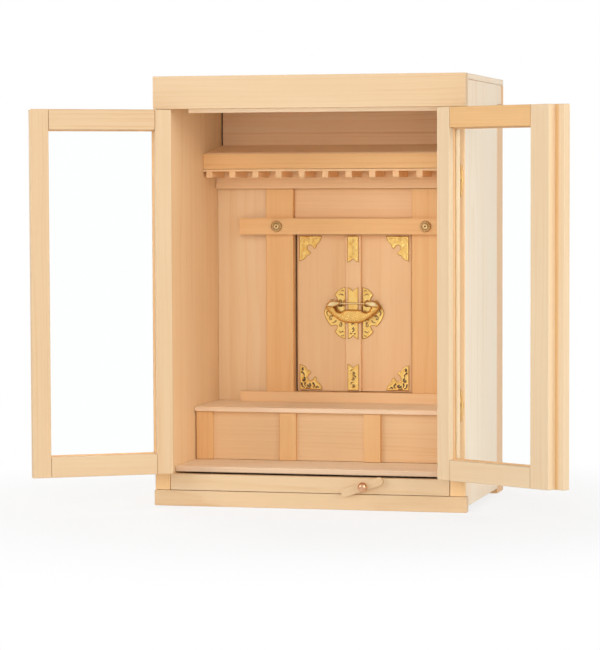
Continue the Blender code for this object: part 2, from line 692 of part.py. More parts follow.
def build_roof(root):
    """Eave board, soffit with rafters, sloping roof board and the back board above it."""
    clear = INNER - SEAT_GAP
    board("eave_board", "softwood", root, (-clear, clear), (EAVE_FRONT, EAVE_FRONT + EAVE_THICK),
          (EAVE_LOW, EAVE_TOP))
    rafters = board("soffit_and_rafters", "softwood", root, (-clear, clear),
                    (EAVE_FRONT, PILLAR_FRONT - SEAT_GAP), (SOFFIT_LOW, SOFFIT_LOW + SOFFIT_THICK), arris=0)
    for i in range(RAFTER_COUNT):
        center = (i - (RAFTER_COUNT - 1) / 2) * RAFTER_PITCH
        rafter = tool(f"rafter_{i + 1}",
                      box_mesh("rafter", (center - RAFTER_SIZE / 2, center + RAFTER_SIZE / 2),
                               (EAVE_FRONT + RAFTER_INSET, PILLAR_FRONT - 2 * SEAT_GAP),
                               (SOFFIT_LOW - RAFTER_SIZE, SOFFIT_LOW + SOFFIT_THICK / 2)), root)
        combine(rafters, rafter, "UNION", f"rafter_{i + 1}")
    front = EAVE_FRONT + EAVE_THICK + SEAT_GAP
    back = SIDE_LUG_DEPTH - SEAT_GAP
    roof_back = EAVE_TOP + ROOF_RISE
    front_top = EAVE_TOP + ROOF_RISE * (front - EAVE_FRONT) / (back - EAVE_FRONT)
    roof = [(front, front_top - ROOF_THICK), (back, roof_back - ROOF_THICK), (back, roof_back),
            (front, front_top)]
    profile("roof_board", "warm_wood", root, "YZ", roof, -clear, clear)
    board("upper_back_board", "warm_wood", root, (-clear, clear),
          (SIDE_LUG_DEPTH, SIDE_LUG_DEPTH + UPPER_BACK_THICK), (EAVE_BEAM_LOW, TOP_UNDER - SEAT_GAP))


def beam_outline(center):
    """A beam in plan: the long face in front and the part between the pillars behind it."""
    back = PILLAR_FRONT - SEAT_GAP
    rear = WALL_FRONT + WALL_THICK
    far = center + BEAM_HALF
    near = center + LEAF_SPAN / 2 - SEAT_GAP
    right = [(far, BEAM_FRONT), (far, back), (near, back), (near, rear)]
    left = [(2 * center - u, v) for u, v in reversed(right)]
    return right + left


def boss_outline(center_x, center_z):
    """A round boss with a rim of petals."""
    turns = [math.tau * i / (BOSS_PETALS * 4) for i in range(BOSS_PETALS * 4)]
    radii = [BOSS_RADIUS - BOSS_PETAL_DEPTH * (1 - abs(math.sin(BOSS_PETALS * turn / 2))) for turn in turns]
    return [(center_x + r * math.cos(turn), center_z + r * math.sin(turn)) for r, turn in zip(radii, turns)]


def build_boss(side, word, root):
    """One petalled boss on the upper beam, with a dome in its middle."""
    x = FACADE_SHIFT + side * (LEAF_SPAN / 2 + BOSS_INSET)
    z = (NAGESHI_LOW + NAGESHI_TOP) / 2
    back = BEAM_FRONT - SEAT_GAP
    front = back - BOSS_THICK
    boss = profile("beam_boss_" + word, "brass", root, "XZ", boss_outline(x, z), front, back, arris=0)
    dome = bpy.data.meshes.new("dome")
    shape = bmesh.new()
    place = Matrix.Translation((x, front + BOSS_DOME_SINK, z)) @ Matrix.Rotation(math.pi / 2, 4, "X")
    squash = Matrix.Diagonal((BOSS_DOME_RADIUS, BOSS_DOME_RADIUS, BOSS_DOME_RISE, 1))
    bmesh.ops.create_uvsphere(shape, u_segments=20, v_segments=8, radius=1, matrix=place @ squash)
    shape.to_mesh(dome)
    shape.free()
    combine(boss, tool("beam_boss_dome_" + word, dome, root), "UNION", "dome")


def build_facade(root):
    """Wall boards, pillars, the two long beams, the transom, the eave beam and the bosses."""
    clear = INNER - SEAT_GAP
    rear = WALL_FRONT + WALL_THICK
    for side, word in ((-1, "left"), (1, "right")):
        edge = FACADE_SHIFT + side * (LEAF_SPAN / 2)
        wall = tuple(sorted((edge, side * clear)))
        board("shrine_wall_" + word, "softwood", root, wall, (WALL_FRONT, rear),
              (FACADE_LOW, EAVE_BEAM_LOW - SEAT_GAP), arris=0)
        pillar = tuple(sorted((edge, edge + side * PILLAR_WIDTH)))
        board("pillar_" + word, "softwood", root, pillar, (PILLAR_FRONT, WALL_FRONT - SEAT_GAP),
              (FACADE_LOW, EAVE_BEAM_LOW - SEAT_GAP))
        build_boss(side, word, root)
    plan = beam_outline(FACADE_SHIFT)
    for name, low, high in (("lower_beam", FACADE_LOW, SILL_TOP), ("upper_beam", NAGESHI_LOW, NAGESHI_TOP)):
        beam = profile(name, "softwood", root, "XY", plan, low, high, arris=0)
        level = high if name == "lower_beam" else low
        for side, word in ((-1, "left"), (1, "right")):
            center = (FACADE_SHIFT + side * LEAF_PIN_X, LEAF_PIN_Y, level)
            depth = PIVOT_LENGTH + LEAF_CLEAR + SEAT_GAP
            hole = rod_mesh("socket", center, PIVOT_RADIUS + PIVOT_CLEAR, 2 * depth, "Z")
            combine(beam, tool(f"{name}_socket_{word}", hole, root), "DIFFERENCE", "socket_" + word)
    near = LEAF_SPAN / 2 - SEAT_GAP
    board("transom_panel", "softwood", root, (FACADE_SHIFT - near, FACADE_SHIFT + near), (WALL_FRONT, rear),
          (NAGESHI_TOP + SEAT_GAP, EAVE_BEAM_LOW - SEAT_GAP), arris=0)
    board("eave_beam", "softwood", root, (-clear, clear), (PILLAR_FRONT, rear), (EAVE_BEAM_LOW, EAVE_LOW))


def leaf_outline():
    """A shrine door in plan, closed: a rounded heel at the pivot, square at the seam."""
    heel = arc((0, 0), LEAF_HEEL, 90, 270, 8)
    far = LEAF_WIDTH - LEAF_HEEL
    return heel + [(far, -LEAF_HEEL), (far, LEAF_HEEL)]


def corner_outline(width, height):
    """A corner fitting: two straight edges, and a cloud edge of two lobes each side of a bite."""
    tip = ((1, 0), 0)
    first = [((0.77, 0.354), 0.05), ((0.655, 0.515), 0.04), ((0.50, 0.36), -0.02)]
    second = [((0.36, 0.50), -0.05), ((0.515, 0.655), -0.02), ((0.354, 0.77), 0.04), ((0, 1), 0.05)]
    outline = chain([((0, 0), 0), tip] + first + second)
    return [(u * width, v * height) for u, v in outline]


def tail_points(half, level, depth):
    """A swallow-tailed end from left to right: two pointed corners and a low peak between them."""
    return chain([((-half, level), 0), ((0, level + depth), TAIL_SWELL), ((half, level), TAIL_SWELL)])


def strip_outline(width, length):
    """A batten strip: straight at its top, with a swallow tail at its lower end."""
    half = width / 2
    return tail_points(half, -length, TAIL_DEPTH) + [(half, 0), (-half, 0)]


def escutcheon_outline(width, height):
    """Half of the round lock plate: a straight seam edge and a cloud edge that ends in a point."""
    half = height / 2
    low = [((0.51, -0.70), 0.06), ((0.38, -0.49), -0.03), ((0.65, -0.52), -0.03)]
    high = [((0.65, 0.52), 0.05), ((0.38, 0.49), -0.03), ((0.51, 0.70), -0.03), ((0, 1), 0.06)]
    outline = chain([((0, -1), 0)] + low + [((1, 0), 0.05)] + high)
    return [(u * width, v * half) for u, v in outline]


def center_plate_outline(middle):
    """The middle of the lock plate, on the batten: straight sides and two swallow tails."""
    half = ESCUTCHEON_HEIGHT / 2
    low = tail_points(CENTER_PLATE_WIDTH / 2, -half, TAIL_DEPTH)
    return [(middle + u, ESCUTCHEON_Z + v) for u, v in low + [(-u, -v) for u, v in low]]


def lock_outline(middle):
    """The shrimp lock from the front: a deep bow between two points, and an ear at each."""
    half = LOCK_LENGTH / 2
    ear = half - LOCK_EAR_REACH
    crotch = ear + LOCK_CROTCH
    tip = -LOCK_TIP_DROP
    bow = bowed((-half, tip), (half, tip), LOCK_DROP - LOCK_TIP_DROP, LOCK_BOW_STEPS)
    back = chain([
        ((half, tip), 0),
        ((ear, LOCK_BAR_RADIUS), LOCK_EAR_RISE),
        ((ear, -LOCK_BAR_RADIUS), 0),
        ((crotch, tip), -LOCK_CROTCH_SWELL),
        ((-crotch, tip), LOCK_TIP_DROP - LOCK_BACK_DROP),
        ((-ear, -LOCK_BAR_RADIUS), -LOCK_CROTCH_SWELL),
        ((-ear, LOCK_BAR_RADIUS), 0),
        ((-half, tip), LOCK_EAR_RISE),
    ])
    return [(middle + u, LOCK_Z + v) for u, v in bow[:-1] + back]


def build_leaf(side, word, root):
    """One shrine door on pivot pins, with its brass corners and lock plate."""
    place = (FACADE_SHIFT + side * LEAF_PIN_X, LEAF_PIN_Y, 0)
    pivot = add_empty("shrine_door_" + word + "_pivot", root, place)
    plan = leaf_outline()
    plan = plan if side < 0 else mirrored(plan)
    leaf = profile("shrine_door_" + word, "softwood", pivot, "XY", plan, LEAF_BOTTOM, LEAF_TOP, arris=0)
    for end, level in (("foot", LEAF_BOTTOM), ("head", LEAF_TOP)):
        length = PIVOT_LENGTH + LEAF_CLEAR - SEAT_GAP
        pin = rod_mesh("pin", (0, 0, level), PIVOT_RADIUS, 2 * length, "Z")
        combine(leaf, tool(f"shrine_door_{word}_{end}_pin", pin, pivot), "UNION", end + "_pin")
    face = -LEAF_HEEL - SEAT_GAP
    brass = (face - BRASS_THICK, face)
    outer = -LEAF_HEEL + CORNER_SIDE_INSET
    corner = corner_outline(CORNER_WIDTH, CORNER_HEIGHT)
    for end, level, up in (("upper", LEAF_TOP - CORNER_INSET, -1), ("lower", LEAF_BOTTOM + CORNER_INSET, 1)):
        outline = [(-side * (outer + u), level + up * v) for u, v in corner]
        profile(f"{end}_corner_{word}", "brass", pivot, "XZ", outline, *brass, arris=0)
    seam = LEAF_WIDTH - LEAF_HEEL
    inset = BATTEN_WIDTH / 2 + SEAT_GAP
    cloud = escutcheon_outline(ESCUTCHEON_WIDTH, ESCUTCHEON_HEIGHT)
    outline = [(-side * (seam - inset - u), ESCUTCHEON_Z + v) for u, v in cloud]
    plate = profile("lock_plate_" + word, "brass", pivot, "XZ", outline, *brass, arris=0)
    add_staple(plate, side, pivot, seam, face)
    return pivot, seam, face


def add_staple(plate, side, pivot, seam, face):
    """The staple of the lock's bar: two prongs above and below it, open in front."""
    center = -side * (seam - STAPLE_SPACING / 2)
    x = (center - STAPLE_WIRE, center + STAPLE_WIRE)
    reach = BATTEN_THICK + 2 * SEAT_GAP + LOCK_DEPTH / 2 + PRONG_HOLD
    y = (face - BRASS_THICK - reach, face - BRASS_THICK / 2)
    for i in (-1, 1):
        z = tuple(sorted((LOCK_Z + i * STAPLE_HOLE, LOCK_Z + i * (STAPLE_HOLE + PRONG_HEIGHT))))
        prong = tool(f"{plate.name}_prong_{i}", box_mesh("prong", x, y, z), pivot)
        combine(plate, prong, "UNION", f"prong_{i}")


def build_shrine_doors(root):
    """Both shrine doors, with the batten, its brass strips and the lock on the left one."""
    build_leaf(1, "right", root)
    pivot, seam, face = build_leaf(-1, "left", root)
    middle = seam + LEAF_SEAM / 2
    batten_x = (middle - BATTEN_WIDTH / 2, middle + BATTEN_WIDTH / 2)
    board("center_batten", "softwood", pivot, batten_x, (face - BATTEN_THICK, face), (LEAF_BOTTOM, LEAF_TOP))
    front = face - BATTEN_THICK - SEAT_GAP
    strip = strip_outline(STRIP_WIDTH, STRIP_LENGTH)
    top = [(middle + u, LEAF_TOP - CORNER_INSET + v) for u, v in strip]
    low = [(middle + u, LEAF_BOTTOM + CORNER_INSET - v) for u, v in strip]
    plate = center_plate_outline(middle)
    plates = {"batten_strip_upper": top, "batten_strip_lower": low, "lock_plate_center": plate}
    for name, outline in plates.items():
        profile(name, "brass", pivot, "XZ", outline, front - BRASS_THICK, front, arris=0)
    build_lock(pivot, middle, front - BRASS_THICK - SEAT_GAP)


def build_lock(pivot, middle, back):
    """The shrimp lock: a bowed body whose ears carry a thin straight bar."""
    body = profile("shrimp_lock", "brass", pivot, "XZ", lock_outline(middle), back - LOCK_DEPTH, back,
                   arris=0)
    bar_length = LOCK_LENGTH - 2 * LOCK_EAR_REACH + LOCK_CROTCH
    rod = rod_mesh("bar", (middle, back - LOCK_DEPTH / 2, LOCK_Z), LOCK_BAR_RADIUS, bar_length, "X", 12)
    combine(body, tool("shrimp_lock_bar", rod, pivot), "UNION", "bar")


def build():
    """The whole object under one root on the base rail's middle line."""
    root = add_empty("kamidana_root", None, (0, -RAIL_THICK / 2, 0))
    build_cabinet(root)
    for side, word in ((-1, "left"), (1, "right")):
        build_outer_door(side, word, root)
    build_tray(root)
    build_shelf(root)
    build_roof(root)
    build_facade(root)
    build_shrine_doors(root)


build()
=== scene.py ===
"""Looks of the glazed box shrine: wood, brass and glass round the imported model, with light and camera."""
import math

import bmesh
import bpy
import numpy as np
from mathutils import Matrix, Vector


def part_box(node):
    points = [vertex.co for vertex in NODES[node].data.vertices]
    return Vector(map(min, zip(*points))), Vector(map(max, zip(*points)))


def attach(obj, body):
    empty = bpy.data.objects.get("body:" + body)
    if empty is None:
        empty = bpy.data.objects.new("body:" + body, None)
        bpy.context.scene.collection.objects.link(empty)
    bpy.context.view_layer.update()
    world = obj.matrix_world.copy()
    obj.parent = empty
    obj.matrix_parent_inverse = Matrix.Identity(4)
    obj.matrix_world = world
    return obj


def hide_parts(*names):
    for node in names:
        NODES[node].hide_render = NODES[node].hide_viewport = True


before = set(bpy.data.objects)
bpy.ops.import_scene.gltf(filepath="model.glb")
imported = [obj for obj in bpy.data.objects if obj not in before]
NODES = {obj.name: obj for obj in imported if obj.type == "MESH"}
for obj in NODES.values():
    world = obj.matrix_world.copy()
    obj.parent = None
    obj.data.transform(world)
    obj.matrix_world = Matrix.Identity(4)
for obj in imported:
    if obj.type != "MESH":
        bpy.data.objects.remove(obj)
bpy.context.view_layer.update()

X, Y, Z = (1, 0, 0), (0, 1, 0), (0, 0, 1)
DOOR_OPEN = math.radians(149)
LEFT_DOOR = (-math.cos(math.pi - DOOR_OPEN), -math.sin(math.pi - DOOR_OPEN), 0)
RIGHT_DOOR = (math.cos(math.pi - DOOR_OPEN), -math.sin(math.pi - DOOR_OPEN), 0)
PIN_PLACE = (0.1367, -0.0066)
BUTTON_TILT = math.radians(19)
BUTTON = (math.cos(BUTTON_TILT), 0, math.sin(BUTTON_TILT))


class Graph:
    """Short calls for building one node tree."""

    def __init__(self, tree):
        self.tree = tree

    def feed(self, socket, value):
        if isinstance(value, bpy.types.NodeSocket):
            self.tree.links.new(value, socket)
        else:
            socket.default_value = value

    def add(self, kind, inputs=None, **settings):
        node = self.tree.nodes.new("ShaderNode" + kind)
        for key, value in settings.items():
            setattr(node, key, value)
        for key, value in (inputs or {}).items():
            self.feed(node.inputs[key], value)
        return node

    def math(self, operation, a, b=0.0):
        return self.add("Math", {0: a, 1: b}, operation=operation).outputs[0]

    def plus(self, a, b):
        return self.math("ADD", a, b)

    def minus(self, a, b):
        return self.math("SUBTRACT", a, b)

    def times(self, a, b):
        return self.math("MULTIPLY", a, b)

    def place(self):
        return self.add("TexCoord").outputs["Object"]

    def vector(self, operation, a, b=None, output=0):
        inputs = {0: a} if b is None else {0: a, 1: b}
        return self.add("VectorMath", inputs, operation=operation).outputs[output]

    def noise(self, vector, stretch, detail=2.0):
        scaled = self.vector("MULTIPLY", vector, stretch)
        return self.add("TexNoise", {"Vector": scaled, "Scale": 1.0, "Detail": detail}).outputs["Fac"]

    def swing(self, vector, stretch, detail=2.0):
        """Noise about zero."""
        return self.minus(self.noise(vector, stretch, detail), 0.5)

    def mix(self, factor, a, b):
        node = self.add("Mix", {"Factor": factor}, data_type="RGBA", clamp_factor=True)
        self.feed(node.inputs[6], a)
        self.feed(node.inputs[7], b)
        return node.outputs[2]

    def band(self, value, low, high):
        """0 below low, 1 above high, smooth between."""
        node = self.add("MapRange", {"Value": value, "From Min": low, "From Max": high},
                        interpolation_type="SMOOTHSTEP")
        return node.outputs["Result"]


SLOW_BENDS, QUICK_BENDS, QUICK_SHARE = (2.2, 11, 11), (9, 70, 70), 0.7
RING_CROWDING_SCALE, RING_CROWDING = 0.23, 3.0
RING_POWER, RING_END, FAINTEST_RING = 2.4, 0.86, 0.35
FIBRES, FIBRE_SHARE = (55, 1700, 1700), 0.30
STREAKS, STREAK_SHARE = (9, 330, 330), 0.55
PATCHES, PATCH_SHARE = (3.1, 22, 22), 0.75
WOOD_BASE = 0.30
WOOD_ROUGHNESS, FIBRE_ROUGHNESS = 0.56, 0.25
FIBRE_HEIGHT, RING_HEIGHT = 0.8, 0.5


def make_wood_group():
    """Growth rings round a heart line, fibres along the grain and slow changes of tone."""
    tree = bpy.data.node_groups.new("wood", "ShaderNodeTree")
    for name, kind in (("Vector", "Vector"), ("Light", "Color"), ("Mid", "Color"), ("Dark", "Color"),
                       ("Spacing", "Float"), ("Heart", "Float"), ("Waver", "Float"), ("Lines", "Float")):
        tree.interface.new_socket(name, in_out="INPUT", socket_type="NodeSocket" + kind)
    for name, kind in (("Color", "Color"), ("Roughness", "Float"), ("Height", "Float")):
        tree.interface.new_socket(name, in_out="OUTPUT", socket_type="NodeSocket" + kind)
    g = Graph(tree)
    given = tree.nodes.new("NodeGroupInput").outputs
    place = given["Vector"]
    across = g.vector("MULTIPLY", place, (0, 1, 1))
    heart = g.add("CombineXYZ", {"Z": given["Heart"]}).outputs[0]
    radius = g.vector("LENGTH", g.vector("ADD", across, heart), output="Value")
    bent = g.plus(radius, g.times(g.swing(place, SLOW_BENDS), given["Waver"]))
    bent = g.plus(bent, g.times(g.swing(place, QUICK_BENDS), g.times(given["Spacing"], QUICK_SHARE)))
    count = g.math("DIVIDE", bent, given["Spacing"])
    crowding = g.add("TexNoise", {"W": count, "Scale": RING_CROWDING_SCALE, "Detail": 1.0},
                     noise_dimensions="1D").outputs["Fac"]
    count = g.plus(count, g.times(crowding, RING_CROWDING))
    phase = g.math("FRACT", count)
    ring = g.times(g.math("POWER", phase, RING_POWER), g.minus(1.0, g.band(phase, RING_END, 1.0)))
    chance = g.add("TexWhiteNoise", {"W": g.math("FLOOR", count)}, noise_dimensions="1D").outputs["Value"]
    ring = g.times(ring, g.plus(FAINTEST_RING, g.times(chance, 1 - FAINTEST_RING)))
    fibre = g.swing(place, FIBRES, 3.0)
    total = g.times(ring, given["Lines"])
    total = g.plus(total, g.times(fibre, FIBRE_SHARE))
    total = g.plus(total, g.times(g.swing(place, STREAKS, 3.0), STREAK_SHARE))
    total = g.plus(total, g.times(g.swing(place, PATCHES, 1.0), PATCH_SHARE))
    total = g.times(g.plus(total, WOOD_BASE), 2.0)
    pale_half = g.mix(total, given["Light"], given["Mid"])
    out = tree.nodes.new("NodeGroupOutput").inputs
    g.feed(out["Color"], g.mix(g.minus(total, 1.0), pale_half, given["Dark"]))
    g.feed(out["Roughness"], g.plus(WOOD_ROUGHNESS, g.times(fibre, FIBRE_ROUGHNESS)))
    g.feed(out["Height"], g.minus(g.times(fibre, FIBRE_HEIGHT), g.times(ring, RING_HEIGHT)))
    return tree


WOOD = make_wood_group()
TONES = {
    "cream": ((0.765, 0.56, 0.35, 1), (0.73, 0.51, 0.295, 1), (0.63, 0.375, 0.185, 1)),
    "frame": ((0.745, 0.55, 0.335, 1), (0.715, 0.49, 0.28, 1), (0.64, 0.385, 0.185, 1)),
    "frame_painted_light": ((0.81, 0.635, 0.42, 1), (0.78, 0.575, 0.355, 1), (0.70, 0.46, 0.24, 1)),
    "amber_shade": ((0.82, 0.52, 0.235, 1), (0.775, 0.455, 0.19, 1), (0.68, 0.35, 0.12, 1)),
    "edge": ((0.865, 0.57, 0.295, 1), (0.835, 0.525, 0.245, 1), (0.735, 0.395, 0.155, 1)),
    "riser": ((0.83, 0.565, 0.325, 1), (0.785, 0.505, 0.265, 1), (0.68, 0.375, 0.16, 1)),
    "beam": ((0.97, 0.70, 0.42, 1), (0.94, 0.62, 0.34, 1), (0.82, 0.47, 0.22, 1)),
    "post": ((0.83, 0.52, 0.245, 1), (0.785, 0.455, 0.195, 1), (0.67, 0.32, 0.11, 1)),
    "pale": ((0.95, 0.82, 0.65, 1), (0.92, 0.745, 0.55, 1), (0.84, 0.60, 0.385, 1)),
    "wall": ((0.93, 0.69, 0.43, 1), (0.89, 0.615, 0.345, 1), (0.78, 0.46, 0.22, 1)),
    "inner": ((0.94, 0.65, 0.375, 1), (0.90, 0.58, 0.305, 1), (0.79, 0.43, 0.185, 1)),
    "warm": ((0.92, 0.59, 0.285, 1), (0.87, 0.515, 0.225, 1), (0.75, 0.365, 0.13, 1)),
    "rosy": ((0.92, 0.70, 0.49, 1), (0.88, 0.625, 0.41, 1), (0.76, 0.46, 0.25, 1)),
    "top": ((0.98, 0.84, 0.66, 1), (0.96, 0.77, 0.57, 1), (0.87, 0.61, 0.39, 1)),
    "roof_painted_light": ((0.97, 0.74, 0.51, 1), (0.96, 0.66, 0.41, 1), (0.85, 0.50, 0.26, 1)),
    "shade": ((0.96, 0.70, 0.45, 1), (0.94, 0.61, 0.35, 1), (0.78, 0.42, 0.19, 1)),
    "stop_painted_light": ((1.0, 0.82, 0.60, 1), (0.97, 0.76, 0.52, 1), (0.88, 0.60, 0.36, 1)),
    # Near black: painted shade of a gap.
    "gap_shade": ((0.05, 0.03, 0.03, 1), (0.04, 0.025, 0.025, 1), (0.03, 0.02, 0.02, 1)),
    "rear": ((0.86, 0.55, 0.29, 1), (0.80, 0.47, 0.22, 1), (0.66, 0.35, 0.14, 1)),
}


def figure(spacing, heart, waver, lines):
    """How a board's rings run. A far heart gives straight lines, a near one gives arches."""
    return {"Spacing": spacing, "Heart": heart, "Waver": waver, "Lines": lines}


FLAT = figure(0.0042, 0.045, 0.016, 0.42)
FINE = figure(0.0016, 0.7, 0.004, 0.42)
STRAIGHT = figure(0.0024, 0.6, 0.006, 0.5)
BOLD = figure(0.0042, 0.10, 0.010, 0.8)
EAVE = figure(0.0030, 0.12, 0.006, 0.5)
WALLING = figure(0.0021, 0.5, 0.004, 0.6)
TRANSOM = figure(0.0030, 0.10, 0.008, 0.4)
DOOR_LEAF = figure(0.0024, 0.25, 0.006, 0.4)
EDGE = figure(0.0016, 0.7, 0.004, 0.4)
ARCHED = figure(0.0019, 0.055, 0.010, 0.34)
BROAD = figure(0.0034, 0.3, 0.010, 0.45)
OUTSIDE = figure(0.0038, 0.25, 0.012, 0.5)

# Each board's grain, face, tone and figure. Its seed, the piece of the tree it is cut from, is added last.
BOARDS = {
    "front_fascia": (X, Y, "cream", FLAT),
    "base_rail": (X, Y, "cream", FINE),
    "top_board": (X, Z, "pale", STRAIGHT),
    "bottom_board": (X, Z, "inner", STRAIGHT),
    "rear_post_right": (Z, X, "rear", STRAIGHT),
    "back_panel": (Z, Y, "rear", STRAIGHT),
    # The upper back board's tone is paler than its wood: painted light where it lies in shade under the
    # top.
    "upper_back_board": (X, Y, "shade", BOLD),
    # The roof's tone is paler than its wood: painted light where it lies in the shade of the fascia.
    "roof_board": (X, Z, "roof_painted_light", STRAIGHT),
    "eave_board": (X, Y, "warm", EAVE),
    "soffit_and_rafters": (Y, Z, "inner", STRAIGHT),
    # The eave beam's tone is paler than its wood: painted light where it lies in the shade of the eave.
    "eave_beam": (X, Y, "beam", FINE),
    "shrine_wall_left": (Z, Y, "wall", WALLING),
    "shrine_wall_right": (Z, Y, "wall", WALLING),
    "pillar_left": (Z, Y, "warm", FINE),
    "pillar_right": (Z, Y, "warm", FINE),
    "transom_panel": (X, Y, "inner", TRANSOM),
    "upper_beam": (X, Y, "warm", FINE),
    "lower_beam": (X, Y, "inner", FINE),
    "shrine_door_left": (Z, Y, "inner", DOOR_LEAF),
    "shrine_door_right": (Z, Y, "inner", DOOR_LEAF),
    "center_batten": (Z, Y, "inner", FINE),
    "offering_tray": (X, Y, "cream", FINE),
    "turn_button": (BUTTON, Y, "cream", FINE),
}
# The right door's frame takes a paler copy of the left door's tone: painted light.
for word, along, tone in (("left", LEFT_DOOR, "frame"), ("right", RIGHT_DOOR, "frame_painted_light")):
    across = Vector(along).cross(Vector(Z))
    for place in ("hinge_stile", "meeting_stile"):
        BOARDS[f"outer_door_{word}_{place}"] = (Z, across, tone, FINE)
    for place in ("top_rail", "bottom_rail"):
        BOARDS[f"outer_door_{word}_{place}"] = (along, across, tone, FINE)
# The right door's top rail takes the amber tone: painted shade.
BOARDS["outer_door_right_top_rail"] = (RIGHT_DOOR, across, "amber_shade", FINE)
BOARDS = {node: (*board, seed) for seed, (node, board) in enumerate(BOARDS.items(), 1)}


def wood_color(g, grain, face, tone, look, seed):
    """One board's wood group, turned to its grain and fed with its own piece of the tree."""
    along = Vector(grain).normalized()
    out = Vector(face)
    out = (out - along * out.dot(along)).normalized()
    turn = Matrix((along, out.cross(along), out)).to_euler("XYZ")
    shift = (0.37 * seed, 0, 0.011 * (seed % 5))
    turned = g.add("Mapping", {"Vector": g.place(), "Rotation": turn, "Location": shift}).outputs[0]
    group = g.add("Group")
    group.node_tree = WOOD
    light, mid, dark = TONES[tone]
    for key, value in {"Vector": turned, "Light": light, "Mid": mid, "Dark": dark, **look}.items():
        g.feed(group.inputs[key], value)
    return group


def new_material(name):
    """A fresh material with its Principled shader."""
    material = bpy.data.materials.new(name)
    material.use_nodes = True
    return material, Graph(material.node_tree), material.node_tree.nodes["Principled BSDF"]


def surface(material):
    """The socket that takes a material's finished shader."""
    return material.node_tree.nodes["Material Output"].inputs["Surface"]


WOOD_BUMP, WOOD_BUMP_DEPTH = 0.35, 0.0002


def finish_wood(g, shader, color, roughness, height):
    """Wires a wood into the shader with a slight bump."""
    bump = g.add("Bump", {"Height": height, "Strength": WOOD_BUMP, "Distance": WOOD_BUMP_DEPTH})
    g.feed(shader.inputs["Base Color"], color)
    g.feed(shader.inputs["Roughness"], roughness)
    g.feed(shader.inputs["Normal"], bump.outputs[0])


def wood(name, board):
    """The material of a board that is one wood all over."""
    material, g, shader = new_material(name)
    finish_wood(g, shader, *wood_color(g, *board).outputs)
    return material


def dress(node, material):
    """Gives a CAD node a finished material."""
    slots = NODES[node].data.materials
    slots.clear()
    slots.append(material)


def two_boards(node, first, second, depth, axis="Y", far=False):
    """One node with two woods: the first to a depth from a side of its box, the second beyond it."""
    material, g, shader = new_material(node)
    near_wood, far_wood = wood_color(g, *first), wood_color(g, *second)
    spot = g.add("SeparateXYZ", {0: g.place()}).outputs[axis]
    low, high = (getattr(corner, axis.lower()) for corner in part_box(node))
    if far:
        behind = g.math("LESS_THAN", spot, high - depth)
    else:
        behind = g.math("GREATER_THAN", spot, low + depth)
    color = g.mix(behind, near_wood.outputs["Color"], far_wood.outputs["Color"])
    finish_wood(g, shader, color, far_wood.outputs["Roughness"], far_wood.outputs["Height"])
    dress(node, material)


# Distances from the pin along the door between which the rebate's painted shade sets in and fades.
CHEEK = (0.1362, 0.1366)
TONGUE = (0.1375, 0.1430)


def rebated_stile(node, along, shade_tone):
    """A door stile with painted shade in the corner of its rebate, which fades out over the tongue."""
    material, g, shader = new_material(node)
    grain, face, tone, look, seed = BOARDS[node]
    plain = wood_color(g, grain, face, tone, look, seed)
    shaded = wood_color(g, grain, face, shade_tone, look, seed)
    from_pin = g.vector("SUBTRACT", g.place(), (*PIN_PLACE, 0))
    reach = g.vector("DOT_PRODUCT", from_pin, along, output="Value")
    corner = g.minus(g.band(reach, *CHEEK), g.band(reach, *TONGUE))
    color = g.mix(corner, plain.outputs["Color"], shaded.outputs["Color"])
    finish_wood(g, shader, color, plain.outputs["Roughness"], plain.outputs["Height"])
    dress(node, material)


FASCIA_DEPTH = 0.0126
GAP_SHADE_WIDTH = 0.0012
POST_DEPTH = 0.0039
PANEL_SKIN = 0.0008
SHELF_SKIN = 0.0006
RIGHT_STILE = "outer_door_right_meeting_stile"
for node, board in BOARDS.items():
    if node not in ("front_fascia", "upper_back_board", RIGHT_STILE):
        dress(node, wood(node, board))
rebated_stile(RIGHT_STILE, RIGHT_DOOR, "amber_shade")
fascia, upper_back = BOARDS["front_fascia"], BOARDS["upper_back_board"]
# Behind its front board, the fascia and the door stop it carries take a near-white tone: painted light
# where they lie in shade.
two_boards("front_fascia", fascia, (X, Y, "stop_painted_light", FINE, fascia[-1]), FASCIA_DEPTH)
# The upper back board's left edge is painted near black over this width: a painted shadow where a gap to
# the left wall would be.
two_boards("upper_back_board", (Z, Y, "gap_shade", BOLD, upper_back[-1]), upper_back, GAP_SHADE_WIDTH, "X")
two_boards("shelf_riser", (Z, Y, "post", EDGE, 42), (X, Y, "riser", ARCHED, 41), POST_DEPTH)
# One wood, two tones: the left panel and the inner face of the left rear post take the warmer wall tone
# instead of the right panel's pale one, as painted shade on faces inside the cabinet.
panel_edge, wall = (Z, Y, "edge", EDGE, 43), (Z, X, "wall", BROAD, 44)
two_boards("side_panel_left", panel_edge, wall, PANEL_SKIN)
two_boards("side_panel_right", panel_edge, (Z, X, "pale", OUTSIDE, 45), PANEL_SKIN)
two_boards("rear_post_left", wall, (Z, X, "rear", STRAIGHT, 11), PANEL_SKIN, "X", far=True)
# Their upward faces take a paler tone than their front edges: painted light on tops that lie in shade.
for seed, node in enumerate(("floor_board", "offering_shelf"), 46):
    two_boards(node, (X, Z, "rosy", STRAIGHT, seed), (X, Z, "top", STRAIGHT, seed), SHELF_SKIN)

INK_COLOR = (0.028, 0.018, 0.02, 1)
# Brown for brass edges and creases: painted shade and reflection of the wood.
RIM_SHADE_BROWN = (0.46, 0.20, 0.055, 1)
TARNISH, TARNISH_BAND = (160, 160, 160), (0.42, 0.74)
WEAR, WEAR_BAND = (1100, 1100, 1100), (0.30, 0.44)
GRIT, GRIT_BUMP, GRIT_DEPTH = (2600, 2600, 2600), 0.15, 0.00005


